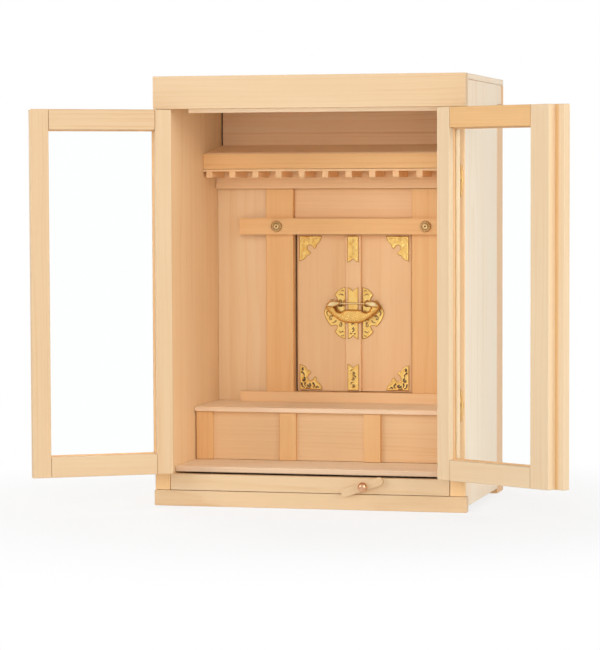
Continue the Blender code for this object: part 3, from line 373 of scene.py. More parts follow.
def brass(name, color=(0.90, 0.585, 0.185, 1), dull=(0.83, 0.49, 0.13, 1), roughness=0.30):
    """Stamped brass, duller in patches: dark where the mesh's ink-and-shade layer says so, brown at its rim
    as painted shade and reflection of the wood.
    """
    material, g, shader = new_material(name)
    place = g.place()
    patches = g.noise(place, TARNISH, 4.0)
    worn = g.band(g.noise(place, WEAR), *WEAR_BAND)
    ink_and_shade = g.times(g.add("Attribute", attribute_name="ink_and_shade").outputs["Fac"], worn)
    rim = g.add("Attribute", attribute_name="rim").outputs["Fac"]
    metal = g.mix(g.band(patches, *TARNISH_BAND), color, dull)
    metal = g.mix(rim, metal, RIM_SHADE_BROWN)
    g.feed(shader.inputs["Base Color"], g.mix(ink_and_shade, metal, INK_COLOR))
    g.feed(shader.inputs["Metallic"], g.minus(1.0, g.times(ink_and_shade, 0.9)))
    rough = g.plus(roughness, g.times(g.minus(patches, 0.5), 0.3))
    g.feed(shader.inputs["Roughness"], g.plus(rough, g.times(ink_and_shade, 0.2)))
    grit = g.noise(place, GRIT)
    bump = g.add("Bump", {"Height": grit, "Strength": GRIT_BUMP, "Distance": GRIT_DEPTH})
    g.feed(shader.inputs["Normal"], bump.outputs[0])
    return material


BRASS = brass("stamped_brass")
PALE_BRASS = brass("pale_brass", (0.87, 0.68, 0.37, 1), (0.74, 0.50, 0.21, 1), 0.30)
HINGE_BRASS = brass("hinge_brass", (0.80, 0.49, 0.13, 1), (0.70, 0.40, 0.10, 1), 0.34)
# Brighter than the hinge's own brass: painted light on the frame leaves, whose reflections lie in the
# doors' shade.
LEAF_BRASS_PAINTED_LIGHT = brass("hinge_leaf_brass", (1.0, 0.69, 0.20, 1), (0.95, 0.60, 0.15, 1), 0.48)
COPPER = brass("knob_copper", (0.70, 0.40, 0.24, 1), (0.47, 0.24, 0.13, 1), 0.22)

GLASS_COLOR = (0.985, 1.0, 0.993, 1)
GLASS_SHADOW = (0.95, 0.97, 0.965, 1)


def glass():
    """Clear glass with a faint green tint and slight smears, which lets light through as shadow rays."""
    material, g, shader = new_material("pane_glass")
    shader.inputs["Base Color"].default_value = GLASS_COLOR
    shader.inputs["Transmission Weight"].default_value = 1.0
    shader.inputs["IOR"].default_value = 1.45
    smears = g.noise(g.place(), (6, 6, 9), 3.0)
    g.feed(shader.inputs["Roughness"], g.times(g.band(smears, 0.5, 0.9), 0.03))
    clear = g.add("BsdfTransparent", {"Color": GLASS_SHADOW})
    shadow = g.add("LightPath").outputs["Is Shadow Ray"]
    both = g.add("MixShader", {0: shadow, 1: shader.outputs[0], 2: clear.outputs[0]})
    g.feed(surface(material), both.outputs[0])
    return material


GLASS = glass()
# Orange wood for the fillets round the panes: a sheet put where the stile's shadow line on the glass is.
PANE_SHADE_WOOD = wood("pane_shade_fillets", (Z, Y, "rear", FINE, 60))
for word in ("left", "right"):
    dress(f"outer_door_{word}_glass", GLASS)
    for place in ("upper", "lower"):
        for leaf in ("frame", "door"):
            dress(f"{place}_hinge_{word}_{leaf}_leaf", HINGE_BRASS)


def add_piece(name, shape, material, body, smooth=True, replaced=()):
    """Makes a mesh piece of a bmesh, dresses it and lets it ride on its body."""
    mesh = bpy.data.meshes.new(name)
    shape.to_mesh(mesh)
    shape.free()
    for face in mesh.polygons:
        face.use_smooth = smooth
    mesh.materials.append(material)
    piece = bpy.data.objects.new(name, mesh)
    bpy.context.scene.collection.objects.link(piece)
    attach(piece, body)
    if replaced:
        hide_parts(*replaced)


def ink_layers(shape):
    """The mesh layers that say where brass is dark, from black ink and from painted shade, and where it is
    brown, from painted shade and reflection at rims and creases and between the lock's grains.
    """
    return shape.verts.layers.float.new("ink_and_shade"), shape.verts.layers.float.new("rim")


def bridge(shape, first, second):
    """Faces between two closed rings of as many vertices."""
    for k in range(len(first)):
        after = (k + 1) % len(first)
        shape.faces.new((first[k], first[after], second[after], second[k]))


SAME_LEVEL = 0.00002


def front_loop(node, depth=None):
    """A flat plate's front outline as (x, z) points in order, the front's Y and the back's Y."""
    mesh = NODES[node].data
    lowest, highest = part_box(node)
    level = lowest.y if depth is None else highest.y - depth
    steps = {}
    for face in mesh.polygons:
        points = [mesh.vertices[i].co for i in face.vertices]
        if all(abs(p.y - level) < SAME_LEVEL for p in points):
            keys = [(round(p.x, 6), round(p.z, 6)) for p in points]
            steps.update(dict.fromkeys(zip(keys, keys[1:] + keys[:1])))
    follow = {a: b for (a, b) in steps if (b, a) not in steps}
    loops = []
    while follow:
        loop, here = [], next(iter(follow))
        while here in follow:
            loop.append(here)
            here = follow.pop(here)
        loops.append(loop)
    return np.array(max(loops, key=len)), level, highest.y


def nearest_on(points, a, b):
    """Distances from each point to each segment a to b, and where along the segment."""
    step = b - a
    t = np.clip(np.einsum("pij,ij->pi", points[:, None] - a[None], step) / (step ** 2).sum(1), 0, 1)
    away = np.sqrt(((points[:, None] - a[None] - t[..., None] * step[None]) ** 2).sum(2))
    return away, t


def edge_distance(points, loop):
    """Each point's distance from the outline."""
    return nearest_on(points, loop, np.roll(loop, -1, axis=0))[0].min(1)


def line_distance(points, line):
    """Each point's distance from an open line, and how far along the line that is."""
    away, t = nearest_on(points, line[:-1], line[1:])
    nearest = away.argmin(1)
    rows = np.arange(len(points))
    return away[rows, nearest], (nearest + t[rows, nearest]) / (len(line) - 1)


def bump_shape(distance, width):
    """A rounded ridge of unit height."""
    return np.sqrt(np.clip(1 - (distance / width) ** 2, 0, 1))


CELL = 0.00034
RIM_SHADE_REACH = 0.0007


def relief_mesh(loop, front, back, field):
    """A plate whose front follows a height field, which also says where it is dark and brown. Towards its
    outline it is browned as painted shade and reflection of the wood.
    """
    shape = bmesh.new()
    face = shape.faces.new([shape.verts.new((x, front, z)) for x, z in loop])
    face.normal_update()
    if face.normal.y > 0:
        face.normal_flip()
    low, high = loop.min(0), loop.max(0)
    for axis, normal in ((0, X), (1, Z)):
        for at in np.arange(low[axis] + CELL / 2, high[axis], CELL):
            spot = (at, 0, 0) if axis == 0 else (0, 0, at)
            everything = shape.verts[:] + shape.edges[:] + shape.faces[:]
            bmesh.ops.bisect_plane(shape, geom=everything, dist=1e-7, plane_co=spot, plane_no=normal)
    rim = [edge for edge in shape.edges if edge.is_boundary]
    points = np.array([(v.co.x, v.co.z) for v in shape.verts])
    away = edge_distance(points, loop)
    height, ink_and_shade, tint = field(points, away)
    dark, brown = ink_layers(shape)
    for vert, rise, black, brownish, near in zip(shape.verts, height, ink_and_shade, tint, away):
        vert.co.y = front - rise
        vert[dark] = float(min(max(black, 0), 1))
        vert[brown] = float(max(brownish, 1 - near / RIM_SHADE_REACH))
    for part in bmesh.ops.extrude_edge_only(shape, edges=rim)["geom"]:
        if isinstance(part, bmesh.types.BMVert):
            part.co.y = back
    return shape


SCROLL_STEPS, SCROLL_CLOSING, SCROLL_EASING = 26, 0.88, 0.8
STROKE_STEPS = 8


def spiral(x, z, radius, turns, start, hand=1, tall=1.0):
    """A scroll that winds in from its rim."""
    line = []
    for i in range(SCROLL_STEPS + 1):
        a = math.radians(start) + hand * math.tau * turns * i / SCROLL_STEPS
        r = radius * (1 - SCROLL_CLOSING * (i / SCROLL_STEPS) ** SCROLL_EASING)
        line.append((x + r * math.cos(a), z + tall * r * math.sin(a)))
    return np.array(line)


def stroke(*points):
    """A smooth line through a few points."""
    controls = [Vector((x, z, 0)) for x, z in points]
    smooth = []
    for i in range(len(controls) - 1):
        before = controls[max(i - 1, 0)]
        after = controls[min(i + 2, len(controls) - 1)]
        a, b = controls[i], controls[i + 1]
        for k in range(STROKE_STEPS):
            t = k / STROKE_STEPS
            smooth.append(0.5 * ((2 * a) + (b - before) * t + (2 * before - 5 * a + 4 * b - after) * t ** 2
                                 + (3 * a - before - 3 * b + after) * t ** 3))
    smooth.append(controls[-1])
    return np.array([(p.x, p.y) for p in smooth])


FINE_LINE, BROAD_LINE = 0.00052, 0.0007
BEAD_AT, BEAD_WIDTH, BEAD_HEIGHT = 0.0009, 0.0007, 0.00016
ROLL_WIDTH, ROLL_DEPTH = 0.0004, 0.00022
FIELD_START = 0.0006
SCROLL_HEIGHT, SCROLL_SPREAD = 0.00024, 1.5
SCROLL_START, SCROLL_TAPER = 1.2, 0.6
INK_SPREAD, INK_SOFT = 1.15, 0.0002


def plate_field(lines, black, width=FINE_LINE):
    """A rounded rim, an edge bead, and raised scrolls that are dark."""
    def field(points, edge):
        height = BEAD_HEIGHT * bump_shape(edge - BEAD_AT, BEAD_WIDTH)
        height -= ROLL_DEPTH * np.clip(1 - edge / ROLL_WIDTH, 0, 1) ** 2
        ink_and_shade = np.zeros(len(points))
        inside = np.clip((edge - BEAD_AT) / FIELD_START, 0, 1)
        for line in lines:
            away, along = line_distance(points, line)
            thick = width * (SCROLL_START - SCROLL_TAPER * along)
            height += SCROLL_HEIGHT * bump_shape(away, thick * SCROLL_SPREAD) * inside
            mark = np.clip((thick * INK_SPREAD - away) / INK_SOFT, 0, 1)
            ink_and_shade = np.maximum(ink_and_shade, mark * inside * black)
        return height, ink_and_shade, np.zeros(len(points))
    return field


CORNER_LINES = [
    spiral(0.15, 0.80, 0.05, 0.9, 90),
    stroke((0.10, 0.70), (0.19, 0.63), (0.20, 0.54)),
    spiral(0.17, 0.40, 0.085, 1.0, 60, -1),
    stroke((0.34, 0.50), (0.40, 0.43), (0.37, 0.36)),
    stroke((0.09, 0.25), (0.12, 0.14), (0.22, 0.08)),
    stroke((0.25, 0.27), (0.23, 0.20), (0.26, 0.14)),
    spiral(0.44, 0.20, 0.09, 1.0, 200),
    stroke((0.60, 0.26), (0.66, 0.18), (0.61, 0.10)),
    stroke((0.74, 0.10), (0.79, 0.13), (0.86, 0.08)),
    stroke((0.32, 0.07), (0.40, 0.05), (0.48, 0.07)),
]
CLOUD_LINES = [
    spiral(0.66, 0.20, 0.10, 1.1, 230),
    spiral(0.66, -0.20, 0.10, 1.1, 130, -1),
    spiral(0.24, 0.46, 0.09, 1.1, 260, -1),
    spiral(0.24, -0.46, 0.09, 1.1, 100),
    stroke((0.80, 0.10), (0.86, 0.0), (0.80, -0.10)),
]
for half_line in (((0.44, 0.30), (0.52, 0.36), (0.60, 0.36)), ((0.12, 0.30), (0.20, 0.26), (0.30, 0.28)),
                  ((0.12, 0.70), (0.22, 0.74), (0.28, 0.69)), ((0.40, 0.62), (0.44, 0.56), (0.42, 0.50)),
                  ((0.10, 0.86), (0.15, 0.88), (0.20, 0.85))):
    CLOUD_LINES += [stroke(*half_line), stroke(*[(u, -v) for u, v in half_line])]
STRIP_LINES = [
    spiral(0.02, 0.19, 0.15, 1.1, 250, 1, 0.4),
    stroke((-0.20, 0.27), (-0.12, 0.31), (0.02, 0.31)),
    spiral(-0.03, 0.43, 0.15, 1.1, 80, -1, 0.4),
    stroke((0.22, 0.52), (0.10, 0.56), (-0.04, 0.55)),
    spiral(0.03, 0.67, 0.14, 1.1, 250, 1, 0.4),
    stroke((-0.20, 0.76), (-0.14, 0.79), (-0.04, 0.78)),
]
CENTER_LINES = [
    spiral(0.0, 0.20, 0.13, 1.1, 250, 1, 0.4),
    stroke((-0.22, 0.12), (-0.16, 0.10), (-0.10, 0.12)),
    stroke((0.22, 0.12), (0.16, 0.10), (0.10, 0.12)),
    stroke((-0.10, 0.29), (0.0, 0.31), (0.10, 0.29)),
]
PLATE_THICK = 0.0007
PLATE_SINK = 0.00012


def relief_plate(node, body, outline, lines, start, size, black, width=FINE_LINE):
    """A plate with pattern lines placed from a start point, one unit across and one unit up."""
    loop, front, back = outline
    placed = [np.array([(start[0] + u * size[0], start[1] + v * size[1]) for u, v in line])
              for line in lines]
    shape = relief_mesh(loop, front + PLATE_SINK, back, plate_field(placed, black, width))
    add_piece(node + "_relief", shape, BRASS, body, replaced=[node])


for side, word in ((-1, "left"), (1, "right")):
    body = "shrine_leaf_" + word
    for place, way in (("upper", -1), ("lower", 1)):
        node = f"{place}_corner_{word}"
        low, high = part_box(node)
        start = (low.x if side < 0 else high.x, high.z if way < 0 else low.z)
        size = (-side * (high.x - low.x), (high.z - low.z) * way)
        black, width = (1.0, BROAD_LINE) if place == "lower" else (0.12, FINE_LINE)
        relief_plate(node, body, front_loop(node), CORNER_LINES, start, size, black, width)
    node = "lock_plate_" + word
    outline = front_loop(node, PLATE_THICK)
    low, high = outline[0].min(0), outline[0].max(0)
    start = (high[0] if side < 0 else low[0], (low[1] + high[1]) / 2)
    size = (side * (high[0] - low[0]), (high[1] - low[1]) / 2)
    relief_plate(node, body, outline, CLOUD_LINES, start, size, 0.85)

for node, lines, way, black in (("batten_strip_upper", STRIP_LINES, -1, 0.3),
                                ("batten_strip_lower", STRIP_LINES, 1, 1.0),
                                ("lock_plate_center", CENTER_LINES, 1, 1.0)):
    low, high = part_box(node)
    start = ((low.x + high.x) / 2, high.z if way < 0 else low.z)
    size = (high.x - low.x, (high.z - low.z) * way)
    relief_plate(node, "shrine_leaf_left", front_loop(node), lines, start, size, black)


def tube(shape, points, radius, sides=12):
    """A round bar along points in space, closed at both ends. The radius may change along it."""
    rings = []
    for i, point in enumerate(points):
        ahead = points[min(i + 1, len(points) - 1)]
        behind = points[max(i - 1, 0)]
        turn = (ahead - behind).normalized().to_track_quat("Z", "Y").to_matrix()
        thick = radius(i / (len(points) - 1)) if callable(radius) else radius
        spots = [Vector((thick * math.cos(math.tau * k / sides), thick * math.sin(math.tau * k / sides), 0))
                 for k in range(sides)]
        rings.append([shape.verts.new(point + turn @ spot) for spot in spots])
    for first, second in zip(rings, rings[1:]):
        bridge(shape, first, second)
    shape.faces.new(list(reversed(rings[0])))
    shape.faces.new(rings[-1])


# Half the bow's outline and one ear's, in millimetres from the middle of the bar.
LOCK_EDGE = [
    (0.0, -19.6), (4.0, -19.5), (8.0, -19.0), (12.0, -17.6), (15.6, -15.6), (19.0, -13.2), (22.2, -10.6),
    (25.2, -7.8), (27.2, -5.0), (27.0, -3.4), (24.0, -3.0), (20.6, -3.2), (18.7, -4.6), (17.4, -6.8),
    (15.4, -8.4), (13.0, -8.9), (11.2, -8.2), (9.4, -7.0), (7.0, -6.4), (3.5, -6.2), (0.0, -6.2)]
EAR_EDGE = [
    (12.2, 0.0), (13.2, 1.6), (15.4, 2.6), (18.4, 3.0), (21.6, 2.7), (24.6, 1.3), (26.6, -0.9),
    (27.6, -3.3), (25.6, -4.0), (22.4, -4.2), (19.2, -3.9), (16.2, -2.9), (13.6, -1.6), (12.2, 0.0)]
GRAIN_WAVES = ((12, 0.00165), (71, 0.00150), (133, 0.00158))
GRAIN_WANDER, GRAIN_DRIFT, GRAIN_EVEN = 0.0021, 1.7, 3.4
LOCK_RISE = 0.0022
BOW_HEIGHT, BOW_REACH = 0.0017, 0.0048
GRAIN_HEIGHT, GRAIN_EDGE, GRAIN_FADE = 0.00034, 0.0006, 0.0008
PIT_LEVEL, PIT_BROWN = 0.55, 1.1
EAR_HEIGHT, EAR_REACH = 0.0021, 0.0026
CREASE_AT, CREASE_WIDTH, CREASE_DEPTH = 0.0012, 0.0003, 0.0001
BAR_DROP, BAR_LIFT, BAR_HALF, BAR_RADIUS = 0.0014, 0.0016, 0.0136, 0.0008
COLLAR_AT, COLLAR_RADIUS, COLLAR_WIRE = 0.0122, 0.0013, 0.0005


def grains(points):
    """The lock's pitted casting: rounded grains about a millimetre and a half across."""
    total = np.zeros(len(points))
    for turn, wave in GRAIN_WAVES:
        way = np.array((math.cos(math.radians(turn)), math.sin(math.radians(turn))))
        drift = GRAIN_DRIFT * np.sin(points[:, 0] / GRAIN_WANDER + turn)
        total += np.cos(math.tau * (points @ way) / wave + drift)
    return np.clip(0.5 + total / GRAIN_EVEN, 0, 1)


def pillow(edge, reach):
    """Rises steeply from the edge and levels out at a distance."""
    return np.sqrt(np.clip(1 - (1 - np.clip(edge / reach, 0, 1)) ** 2, 0, 1))


def bow_field(points, edge):
    """The bow's swelling, pitted front, brown between its grains."""
    grain = grains(points)
    inside = np.clip((edge - GRAIN_EDGE) / GRAIN_FADE, 0, 1)
    height = BOW_HEIGHT * pillow(edge, BOW_REACH) + GRAIN_HEIGHT * grain * inside
    return height, np.zeros(len(points)), np.clip(PIT_LEVEL - grain, 0, 1) * PIT_BROWN * inside


def ear_field(points, edge):
    """An ear's plump front with a crease along its edge, browned as painted shade."""
    crease = np.clip(1 - np.abs(edge - CREASE_AT) / CREASE_WIDTH, 0, 1)
    height = EAR_HEIGHT * pillow(edge, EAR_REACH) - CREASE_DEPTH * crease
    return height, np.zeros(len(points)), 0.5 * crease


def build_lock(middle, bar_z):
    """The shrimp lock: a pitted bow with two plump ears over its ends, a round bar and its collars."""
    low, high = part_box("shrimp_lock")
    half = stroke(*[(x / 1000, z / 1000) for x, z in LOCK_EDGE])
    bow_loop = np.vstack((half, half[::-1][1:-1] * (-1, 1))) + (middle, bar_z)
    ear_line = stroke(*[(x / 1000, z / 1000) for x, z in EAR_EDGE])[:-1]
    for name, loop, field, metal, replaced in (
            ("shrimp_lock_bow", bow_loop, bow_field, BRASS, ["shrimp_lock"]),
            ("shrimp_lock_ear_left", ear_line * (-1, 1) + (middle, bar_z), ear_field, PALE_BRASS, ()),
            ("shrimp_lock_ear_right", ear_line[::-1] + (middle, bar_z), ear_field, PALE_BRASS, ())):
        shape = relief_mesh(loop, low.y + LOCK_RISE, high.y, field)
        bmesh.ops.edgeloop_fill(shape, edges=[edge for edge in shape.edges if edge.is_boundary])
        add_piece(name, shape, metal, "shrine_leaf_left", replaced=replaced)
    bar = bmesh.new()
    y = low.y + BAR_LIFT
    spots = [middle - BAR_HALF + 2 * BAR_HALF * i / 24 for i in range(25)]
    turns = [math.tau * k / 20 for k in range(21)]
    tube(bar, [Vector((x, y, bar_z)) for x in spots], BAR_RADIUS)
    for side in (-1, 1):
        tube(bar, [Vector((middle + side * COLLAR_AT, y + COLLAR_RADIUS * math.cos(a),
                           bar_z + COLLAR_RADIUS * math.sin(a))) for a in turns], COLLAR_WIRE, 8)
    add_piece("shrimp_lock_bar", bar, PALE_BRASS, "shrine_leaf_left")


STAPLE_AT, STAPLE_UP, STAPLE_SINK, STAPLE_RADIUS = 0.0094, 0.00245, 0.0002, 0.00062
TAPER, TAPER_START = 0.35, 0.8


def staple_radius(t):
    """A prong's radius at a share of its length."""
    return STAPLE_RADIUS * (1 - TAPER * max(0, t - TAPER_START) / (1 - TAPER_START))


def build_staples(middle, bar_z):
    """Two prongs on each lock plate, above and below the bar, that taper at their tips."""
    for side, word in ((-1, "left"), (1, "right")):
        front = front_loop("lock_plate_" + word, PLATE_THICK)[1]
        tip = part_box("lock_plate_" + word)[0].y
        shape = bmesh.new()
        for up in (-1, 1):
            x, z = middle + side * STAPLE_AT, bar_z + up * STAPLE_UP
            points = [Vector((x, front + STAPLE_SINK + (tip - front) * i / 12, z)) for i in range(13)]
            tube(shape, points, staple_radius, 10)
        add_piece("lock_staple_" + word, shape, BRASS, "shrine_leaf_" + word)


low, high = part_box("shrimp_lock")
lock_place = ((low.x + high.x) / 2, high.z - BAR_DROP)
build_lock(*lock_place)
build_staples(*lock_place)

BOSS_PETALS = 16
BOSS_AROUND, BOSS_OUT = 144, 26
BOSS_SEAT, DOME_HEIGHT, PETAL_HEIGHT = 0.0014, 0.0014, 0.0010
DOME_MIDDLE, PETAL_MIDDLE, SWELL = 0.30, 0.76, 0.24
GROOVE_AT, GROOVE_WIDTH = 0.54, 0.06
PETAL_NOTCH, PETAL_LOW, PETAL_SPLIT = 0.07, 0.25, 0.42
EYE_END, BROWN_START = 0.12, 0.88


def hump(part, middle):
    """A round swelling about a share of the boss's radius."""
    return math.sqrt(max(0.0, 1 - ((part - middle) / SWELL) ** 2))


def build_boss(word):
    """A petalled boss with a groove round a domed middle. Its groove, the gaps between its petals and its
    hollow middle are painted dark as shade, and it browns towards its rim as painted reflection.
    """
    node = "beam_boss_" + word
    low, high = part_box(node)
    x, z = (low.x + high.x) / 2, (low.z + high.z) / 2
    radius = (high.x - low.x) / 2
    shape = bmesh.new()
    dark, brown = ink_layers(shape)
    rings = []
    for j in range(1, BOSS_OUT + 1):
        part = j / BOSS_OUT
        ring = []
        for i in range(BOSS_AROUND):
            turn = math.tau * i / BOSS_AROUND
            petal = abs(math.sin(BOSS_PETALS / 2 * turn))
            reach = radius * part * (1 - PETAL_NOTCH * (1 - petal) * part ** 3)
            leaf = hump(part, PETAL_MIDDLE) * (PETAL_LOW + (1 - PETAL_LOW) * petal)
            rise = DOME_HEIGHT * hump(part, DOME_MIDDLE) + PETAL_HEIGHT * leaf
            vert = shape.verts.new((x + reach * math.cos(turn), low.y + BOSS_SEAT - rise,
                                    z + reach * math.sin(turn)))
            groove = max(0.0, 1 - abs(part - GROOVE_AT) / GROOVE_WIDTH)
            between = min(1.0, max(0.0, 1.5 - petal / PETAL_SPLIT)) * (part > GROOVE_AT)
            # Painted shade in the groove, between the petals and in the hollow middle.
            vert[dark] = min(1.0, max(groove * 0.8, between * 0.75, (part < EYE_END) * 0.9))
            vert[brown] = max(0.0, (part - BROWN_START) / (1 - BROWN_START))
            ring.append(vert)
        rings.append(ring)
    center = shape.verts.new((x, low.y + BOSS_SEAT, z))
    center[dark] = 0.9
    for i in range(BOSS_AROUND):
        shape.faces.new((center, rings[0][i], rings[0][(i + 1) % BOSS_AROUND]))
    skirt = [shape.verts.new((v.co.x, high.y, v.co.z)) for v in rings[-1]]
    for first, second in zip(rings, rings[1:] + [skirt]):
        bridge(shape, first, second)
    bmesh.ops.recalc_face_normals(shape, faces=shape.faces)
    add_piece(node + "_petals", shape, PALE_BRASS, "cabinet", replaced=[node])


build_boss("left")
build_boss("right")

BALL_SHARE, BALL_STEPS = 0.80, 16
COLLAR, NECK_RADIUS = (0.0001, 0.0023), 0.0016
NECK_START = 0.0004
ON_AXIS = 0.00001


def build_knob():
    """The tray's ball knob, turned with a small neck and collar."""
    low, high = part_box("tray_knob")
    x, z = (low.x + high.x) / 2, (low.z + high.z) / 2
    radius = (high.x - low.x) / 2
    turns = [math.pi * BALL_SHARE * i / BALL_STEPS for i in range(BALL_STEPS + 1)]
    profile = [(low.y + radius * (1 - math.cos(a)), radius * math.sin(a)) for a in turns]
    neck = profile[-1][0]
    profile += [(neck + COLLAR[0], COLLAR[1]), (neck + NECK_START, NECK_RADIUS), (high.y, NECK_RADIUS)]
    shape = bmesh.new()
    verts = [shape.verts.new((x, y, z + max(r, ON_AXIS))) for y, r in profile]
    edges = [shape.edges.new(pair) for pair in zip(verts, verts[1:])]
    bmesh.ops.spin(shape, geom=verts + edges, cent=(x, 0, z), axis=Y, angle=math.tau, steps=48)
    bmesh.ops.remove_doubles(shape, verts=shape.verts, dist=2 * ON_AXIS)
    bmesh.ops.recalc_face_normals(shape, faces=shape.faces)
    add_piece("tray_knob_turned", shape, COPPER, "tray", replaced=["tray_knob"])


build_knob()

# A frame leaf's outline, in millimetres out from the pin and up from the leaf's middle.
LEAF_EDGE = [
    (3.0, -17.0), (6.0, -17.1), (8.8, -16.8), (9.4, -15.2), (11.2, -14.8), (12.6, -13.2), (12.4, -11.0),
    (13.1, -8.4), (13.0, -5.0), (13.5, -2.2), (13.9, 0.0), (13.5, 2.2), (13.0, 5.0), (13.1, 8.4),
    (12.4, 11.0), (12.6, 13.2), (11.2, 14.8), (9.4, 15.2), (8.8, 16.8), (6.0, 17.1), (3.0, 17.0),
]
LEAF_START, LEAF_SIZE = 0.003, (0.0105, 0.017)
LEAF_THICK, LEAF_SEAT, LEAF_RISE = 0.0008, 0.0001, 0.00015
SCREW_SPOTS = ((0.0045, -0.0125), (0.0070, 0.0), (0.0045, 0.0125))
SCREW_RADIUS, SCREW_RISE, SCREW_SLOT = 0.0013, 0.0003, 0.0002
SCREW_RINGS, SCREW_AROUND = 5, 20
BEYOND_KNUCKLE = 0.004


def hinge_plate(place, word, side):
    """The chased face of a hinge's frame leaf, reaching nearly to the board's outer edge."""
    node = f"{place}_hinge_{word}_frame_leaf"
    low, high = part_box(node)
    x, z = side * PIN_PLACE[0], (low.z + high.z) / 2
    loop = np.array([(x + side * u, z + v) for u, v in stroke(*LEAF_EDGE) / 1000])
    lines = [np.array([(x + side * LEAF_START + u * side * LEAF_SIZE[0], z + v * LEAF_SIZE[1])
                       for u, v in line]) for line in CLOUD_LINES]
    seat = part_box("side_panel_" + word)[0].y - LEAF_SEAT
    shape = relief_mesh(loop, seat - LEAF_THICK - LEAF_RISE, seat, plate_field(lines, 0.3))
    add_piece(node + "_relief", shape, LEAF_BRASS_PAINTED_LIGHT, "cabinet")


def hinge_screws(place, word, side, leaf, out, body):
    """Three small domed screws on a hinge leaf, with painted shade for their slots and round their edges.
    """
    node = f"{place}_hinge_{word}_{leaf}_leaf"
    out = Vector(out)
    face = Vector((0, -1, 0)) if leaf == "frame" else out.cross(Vector(Z)) * -side
    pin = Vector((side * PIN_PLACE[0], PIN_PLACE[1], 0))
    corners = [v.co - pin for v in NODES[node].data.vertices]
    level = max(c.dot(face) for c in corners if c.dot(out) > BEYOND_KNUCKLE)
    if leaf == "frame":
        level += LEAF_RISE
    low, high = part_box(node)
    turn = Matrix((out, face.cross(out), face)).transposed()
    shape = bmesh.new()
    dark = shape.verts.layers.float.new("ink_and_shade")
    for reach, up in SCREW_SPOTS:
        center = pin + out * reach + face * level
        center.z = (low.z + high.z) / 2 + up
        rings = []
        for j in range(SCREW_RINGS):
            part = 1 - j / (SCREW_RINGS - 0.5)
            ring = []
            for k in range(SCREW_AROUND):
                a = math.tau * k / SCREW_AROUND
                at = Vector((SCREW_RADIUS * part * math.cos(a), SCREW_RADIUS * part * math.sin(a),
                             SCREW_RISE * math.sqrt(1 - part ** 2)))
                vert = shape.verts.new(center + turn @ at)
                # The edge ring and a band across the dome are painted dark: painted shade for the seam and
                # the slot.
                vert[dark] = 0.9 if j == 0 or abs(at.y) < SCREW_SLOT else 0.0
                ring.append(vert)
            rings.append(ring)
        for first, second in zip(rings, rings[1:]):
            bridge(shape, first, second)
        shape.faces.new(rings[-1])
    add_piece(node + "_screws", shape, HINGE_BRASS, body)


for word, side, along in (("left", -1, LEFT_DOOR), ("right", 1, RIGHT_DOOR)):
    for place in ("upper", "lower"):
        hinge_plate(place, word, side)
        hinge_screws(place, word, side, "frame", (side, 0, 0), "cabinet")
        hinge_screws(place, word, side, "door", along, "outer_door_" + word)

GROOVE_DEPTH = 0.004
FILLET, FILLET_SLANT = 0.0013, 0.3
FILLET_GAP = 0.00004


def pane_shade_fillets(word, along):
    """Thin orange fillets round a door's pane, on both of its faces, put there as a painted shadow line
    between stile and glass.
    """
    along = Vector(along)
    across = along.cross(Vector(Z))
    corners = [v.co for v in NODES[f"outer_door_{word}_glass"].data.vertices]
    near, far = (f(c.dot(along) for c in corners) for f in (min, max))
    back, front = (f(c.dot(across) for c in corners) for f in (min, max))
    low, high = (f(c.z for c in corners) for f in (min, max))
    inset = GROOVE_DEPTH + FILLET_GAP
    shape = bmesh.new()
    for face, way in ((front + FILLET_GAP, 1), (back - FILLET_GAP, -1)):
        rings = []
        for inward, rise in ((0, 0), (FILLET, 0), (FILLET * FILLET_SLANT, FILLET), (0, FILLET)):
            u0, u1 = near + inset + inward, far - inset - inward
            v0, v1 = low + inset + inward, high - inset - inward
            rings.append([shape.verts.new(along * u + across * (face + way * rise) + Vector((0, 0, v)))
                          for u, v in ((u0, v0), (u1, v0), (u1, v1), (u0, v1))])
        for first, second in zip(rings, rings[1:] + rings[:1]):
            bridge(shape, first, second)
    bmesh.ops.recalc_face_normals(shape, faces=shape.faces)
    add_piece(f"outer_door_{word}_glazing", shape, PANE_SHADE_WOOD, "outer_door_" + word, smooth=False)


pane_shade_fillets("left", LEFT_DOOR)
pane_shade_fillets("right", RIGHT_DOOR)

AMBIENT = 0.16
FLOOR_RADIUS = 6.0
FLOOR_COLOR = (0.93, 0.93, 0.93, 1)
NEAR_WHITE = 0.76
SHADOW_REACH = (0.15, 0.55)


def seen_rays(g):
    """1 for the rays that show a surface: straight to the camera, in a reflection or through glass."""
    path = g.add("LightPath").outputs
    mirrored = g.math("MAXIMUM", path["Is Glossy Ray"], path["Is Transmission Ray"])
    return g.math("MAXIMUM", path["Is Camera Ray"], mirrored)


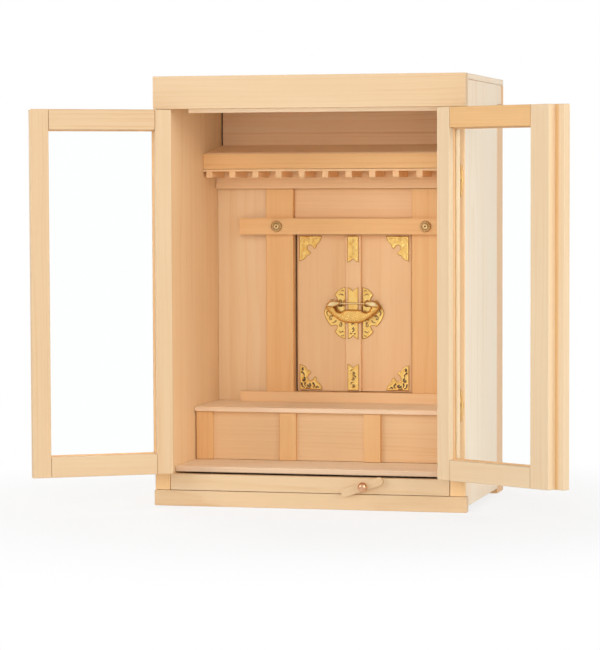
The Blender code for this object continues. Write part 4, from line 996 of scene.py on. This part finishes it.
def build_stage():
    """A white floor that keeps the shadow near the cabinet, and a world that shows as white."""
    shape = bmesh.new()
    bmesh.ops.create_circle(shape, cap_ends=True, segments=96, radius=FLOOR_RADIUS)
    mesh = bpy.data.meshes.new("floor")
    shape.to_mesh(mesh)
    shape.free()
    floor = bpy.data.objects.new("floor", mesh)
    bpy.context.scene.collection.objects.link(floor)
    material, g, shader = new_material("floor")
    shader.inputs["Base Color"].default_value = FLOOR_COLOR
    shader.inputs["Roughness"].default_value = 0.9
    shader.inputs["Specular IOR Level"].default_value = 0.1
    white = g.add("Emission", {"Color": (1, 1, 1, 1), "Strength": 1.0})
    away = g.vector("LENGTH", g.place(), output="Value")
    share = g.plus(NEAR_WHITE, g.times(g.band(away, *SHADOW_REACH), 1 - NEAR_WHITE))
    share = g.times(seen_rays(g), share)
    both = g.add("MixShader", {0: share, 1: shader.outputs[0], 2: white.outputs[0]})
    g.feed(surface(material), both.outputs[0])
    mesh.materials.append(material)
    world = bpy.data.worlds.new("studio")
    bpy.context.scene.world = world
    world.use_nodes = True
    g = Graph(world.node_tree)
    sky = world.node_tree.nodes["Background"]
    g.feed(sky.inputs["Color"], (1, 1, 1, 1))
    g.feed(sky.inputs["Strength"], g.plus(AMBIENT, g.times(seen_rays(g), 1 - AMBIENT)))


build_stage()

TARGET = (0, 0.1, 0.2)


def add_lamp(name, place, size, power, mirrored=True):
    """A soft square lamp that faces the middle of the cabinet."""
    data = bpy.data.lights.new(name, "AREA")
    data.shape = "SQUARE"
    data.size = size
    data.energy = power
    lamp = bpy.data.objects.new(name, data)
    lamp.location = place
    lamp.rotation_euler = (Vector(TARGET) - Vector(place)).to_track_quat("-Z", "Y").to_euler()
    lamp.visible_glossy = mirrored
    bpy.context.scene.collection.objects.link(lamp)


add_lamp("key", (-1.8, -1.6, 1.0), 1.4, 24)
add_lamp("front", (0.4, -2.8, 0.75), 2.0, 38, mirrored=False)
add_lamp("right", (2.1, -0.9, 0.8), 1.4, 28)
add_lamp("behind", (-1.7, 2.1, 1.1), 1.4, 30)

CAMERA_PLACE = (0.6405, -2.5575, 0.30896)
CAMERA_YAW, CAMERA_PITCH, CAMERA_ROLL = (math.radians(a) for a in (13.73, 3.51, 0.19))
LENS, SHIFT_X, SHIFT_Y = 154.51, -0.0386, 0.0443


def add_camera():
    """The photograph's camera: fitted place, turn, lens and picture centre."""
    level = math.cos(CAMERA_PITCH)
    forward = Vector((-math.sin(CAMERA_YAW) * level, math.cos(CAMERA_YAW) * level, -math.sin(CAMERA_PITCH)))
    right = Vector((math.cos(CAMERA_YAW), math.sin(CAMERA_YAW), 0))
    down = forward.cross(right)
    tilted = right * math.cos(CAMERA_ROLL) + down * math.sin(CAMERA_ROLL)
    below = down * math.cos(CAMERA_ROLL) - right * math.sin(CAMERA_ROLL)
    data = bpy.data.cameras.new("camera")
    data.lens = LENS
    data.shift_x = SHIFT_X
    data.shift_y = SHIFT_Y
    data.clip_start = 0.01
    camera = bpy.data.objects.new("camera", data)
    turn = Matrix((tilted, -below, -forward)).transposed()
    camera.matrix_world = Matrix.Translation(CAMERA_PLACE) @ turn.to_4x4()
    bpy.context.scene.collection.objects.link(camera)
    bpy.context.scene.camera = camera


add_camera()
bpy.context.scene.view_settings.view_transform = "Standard"
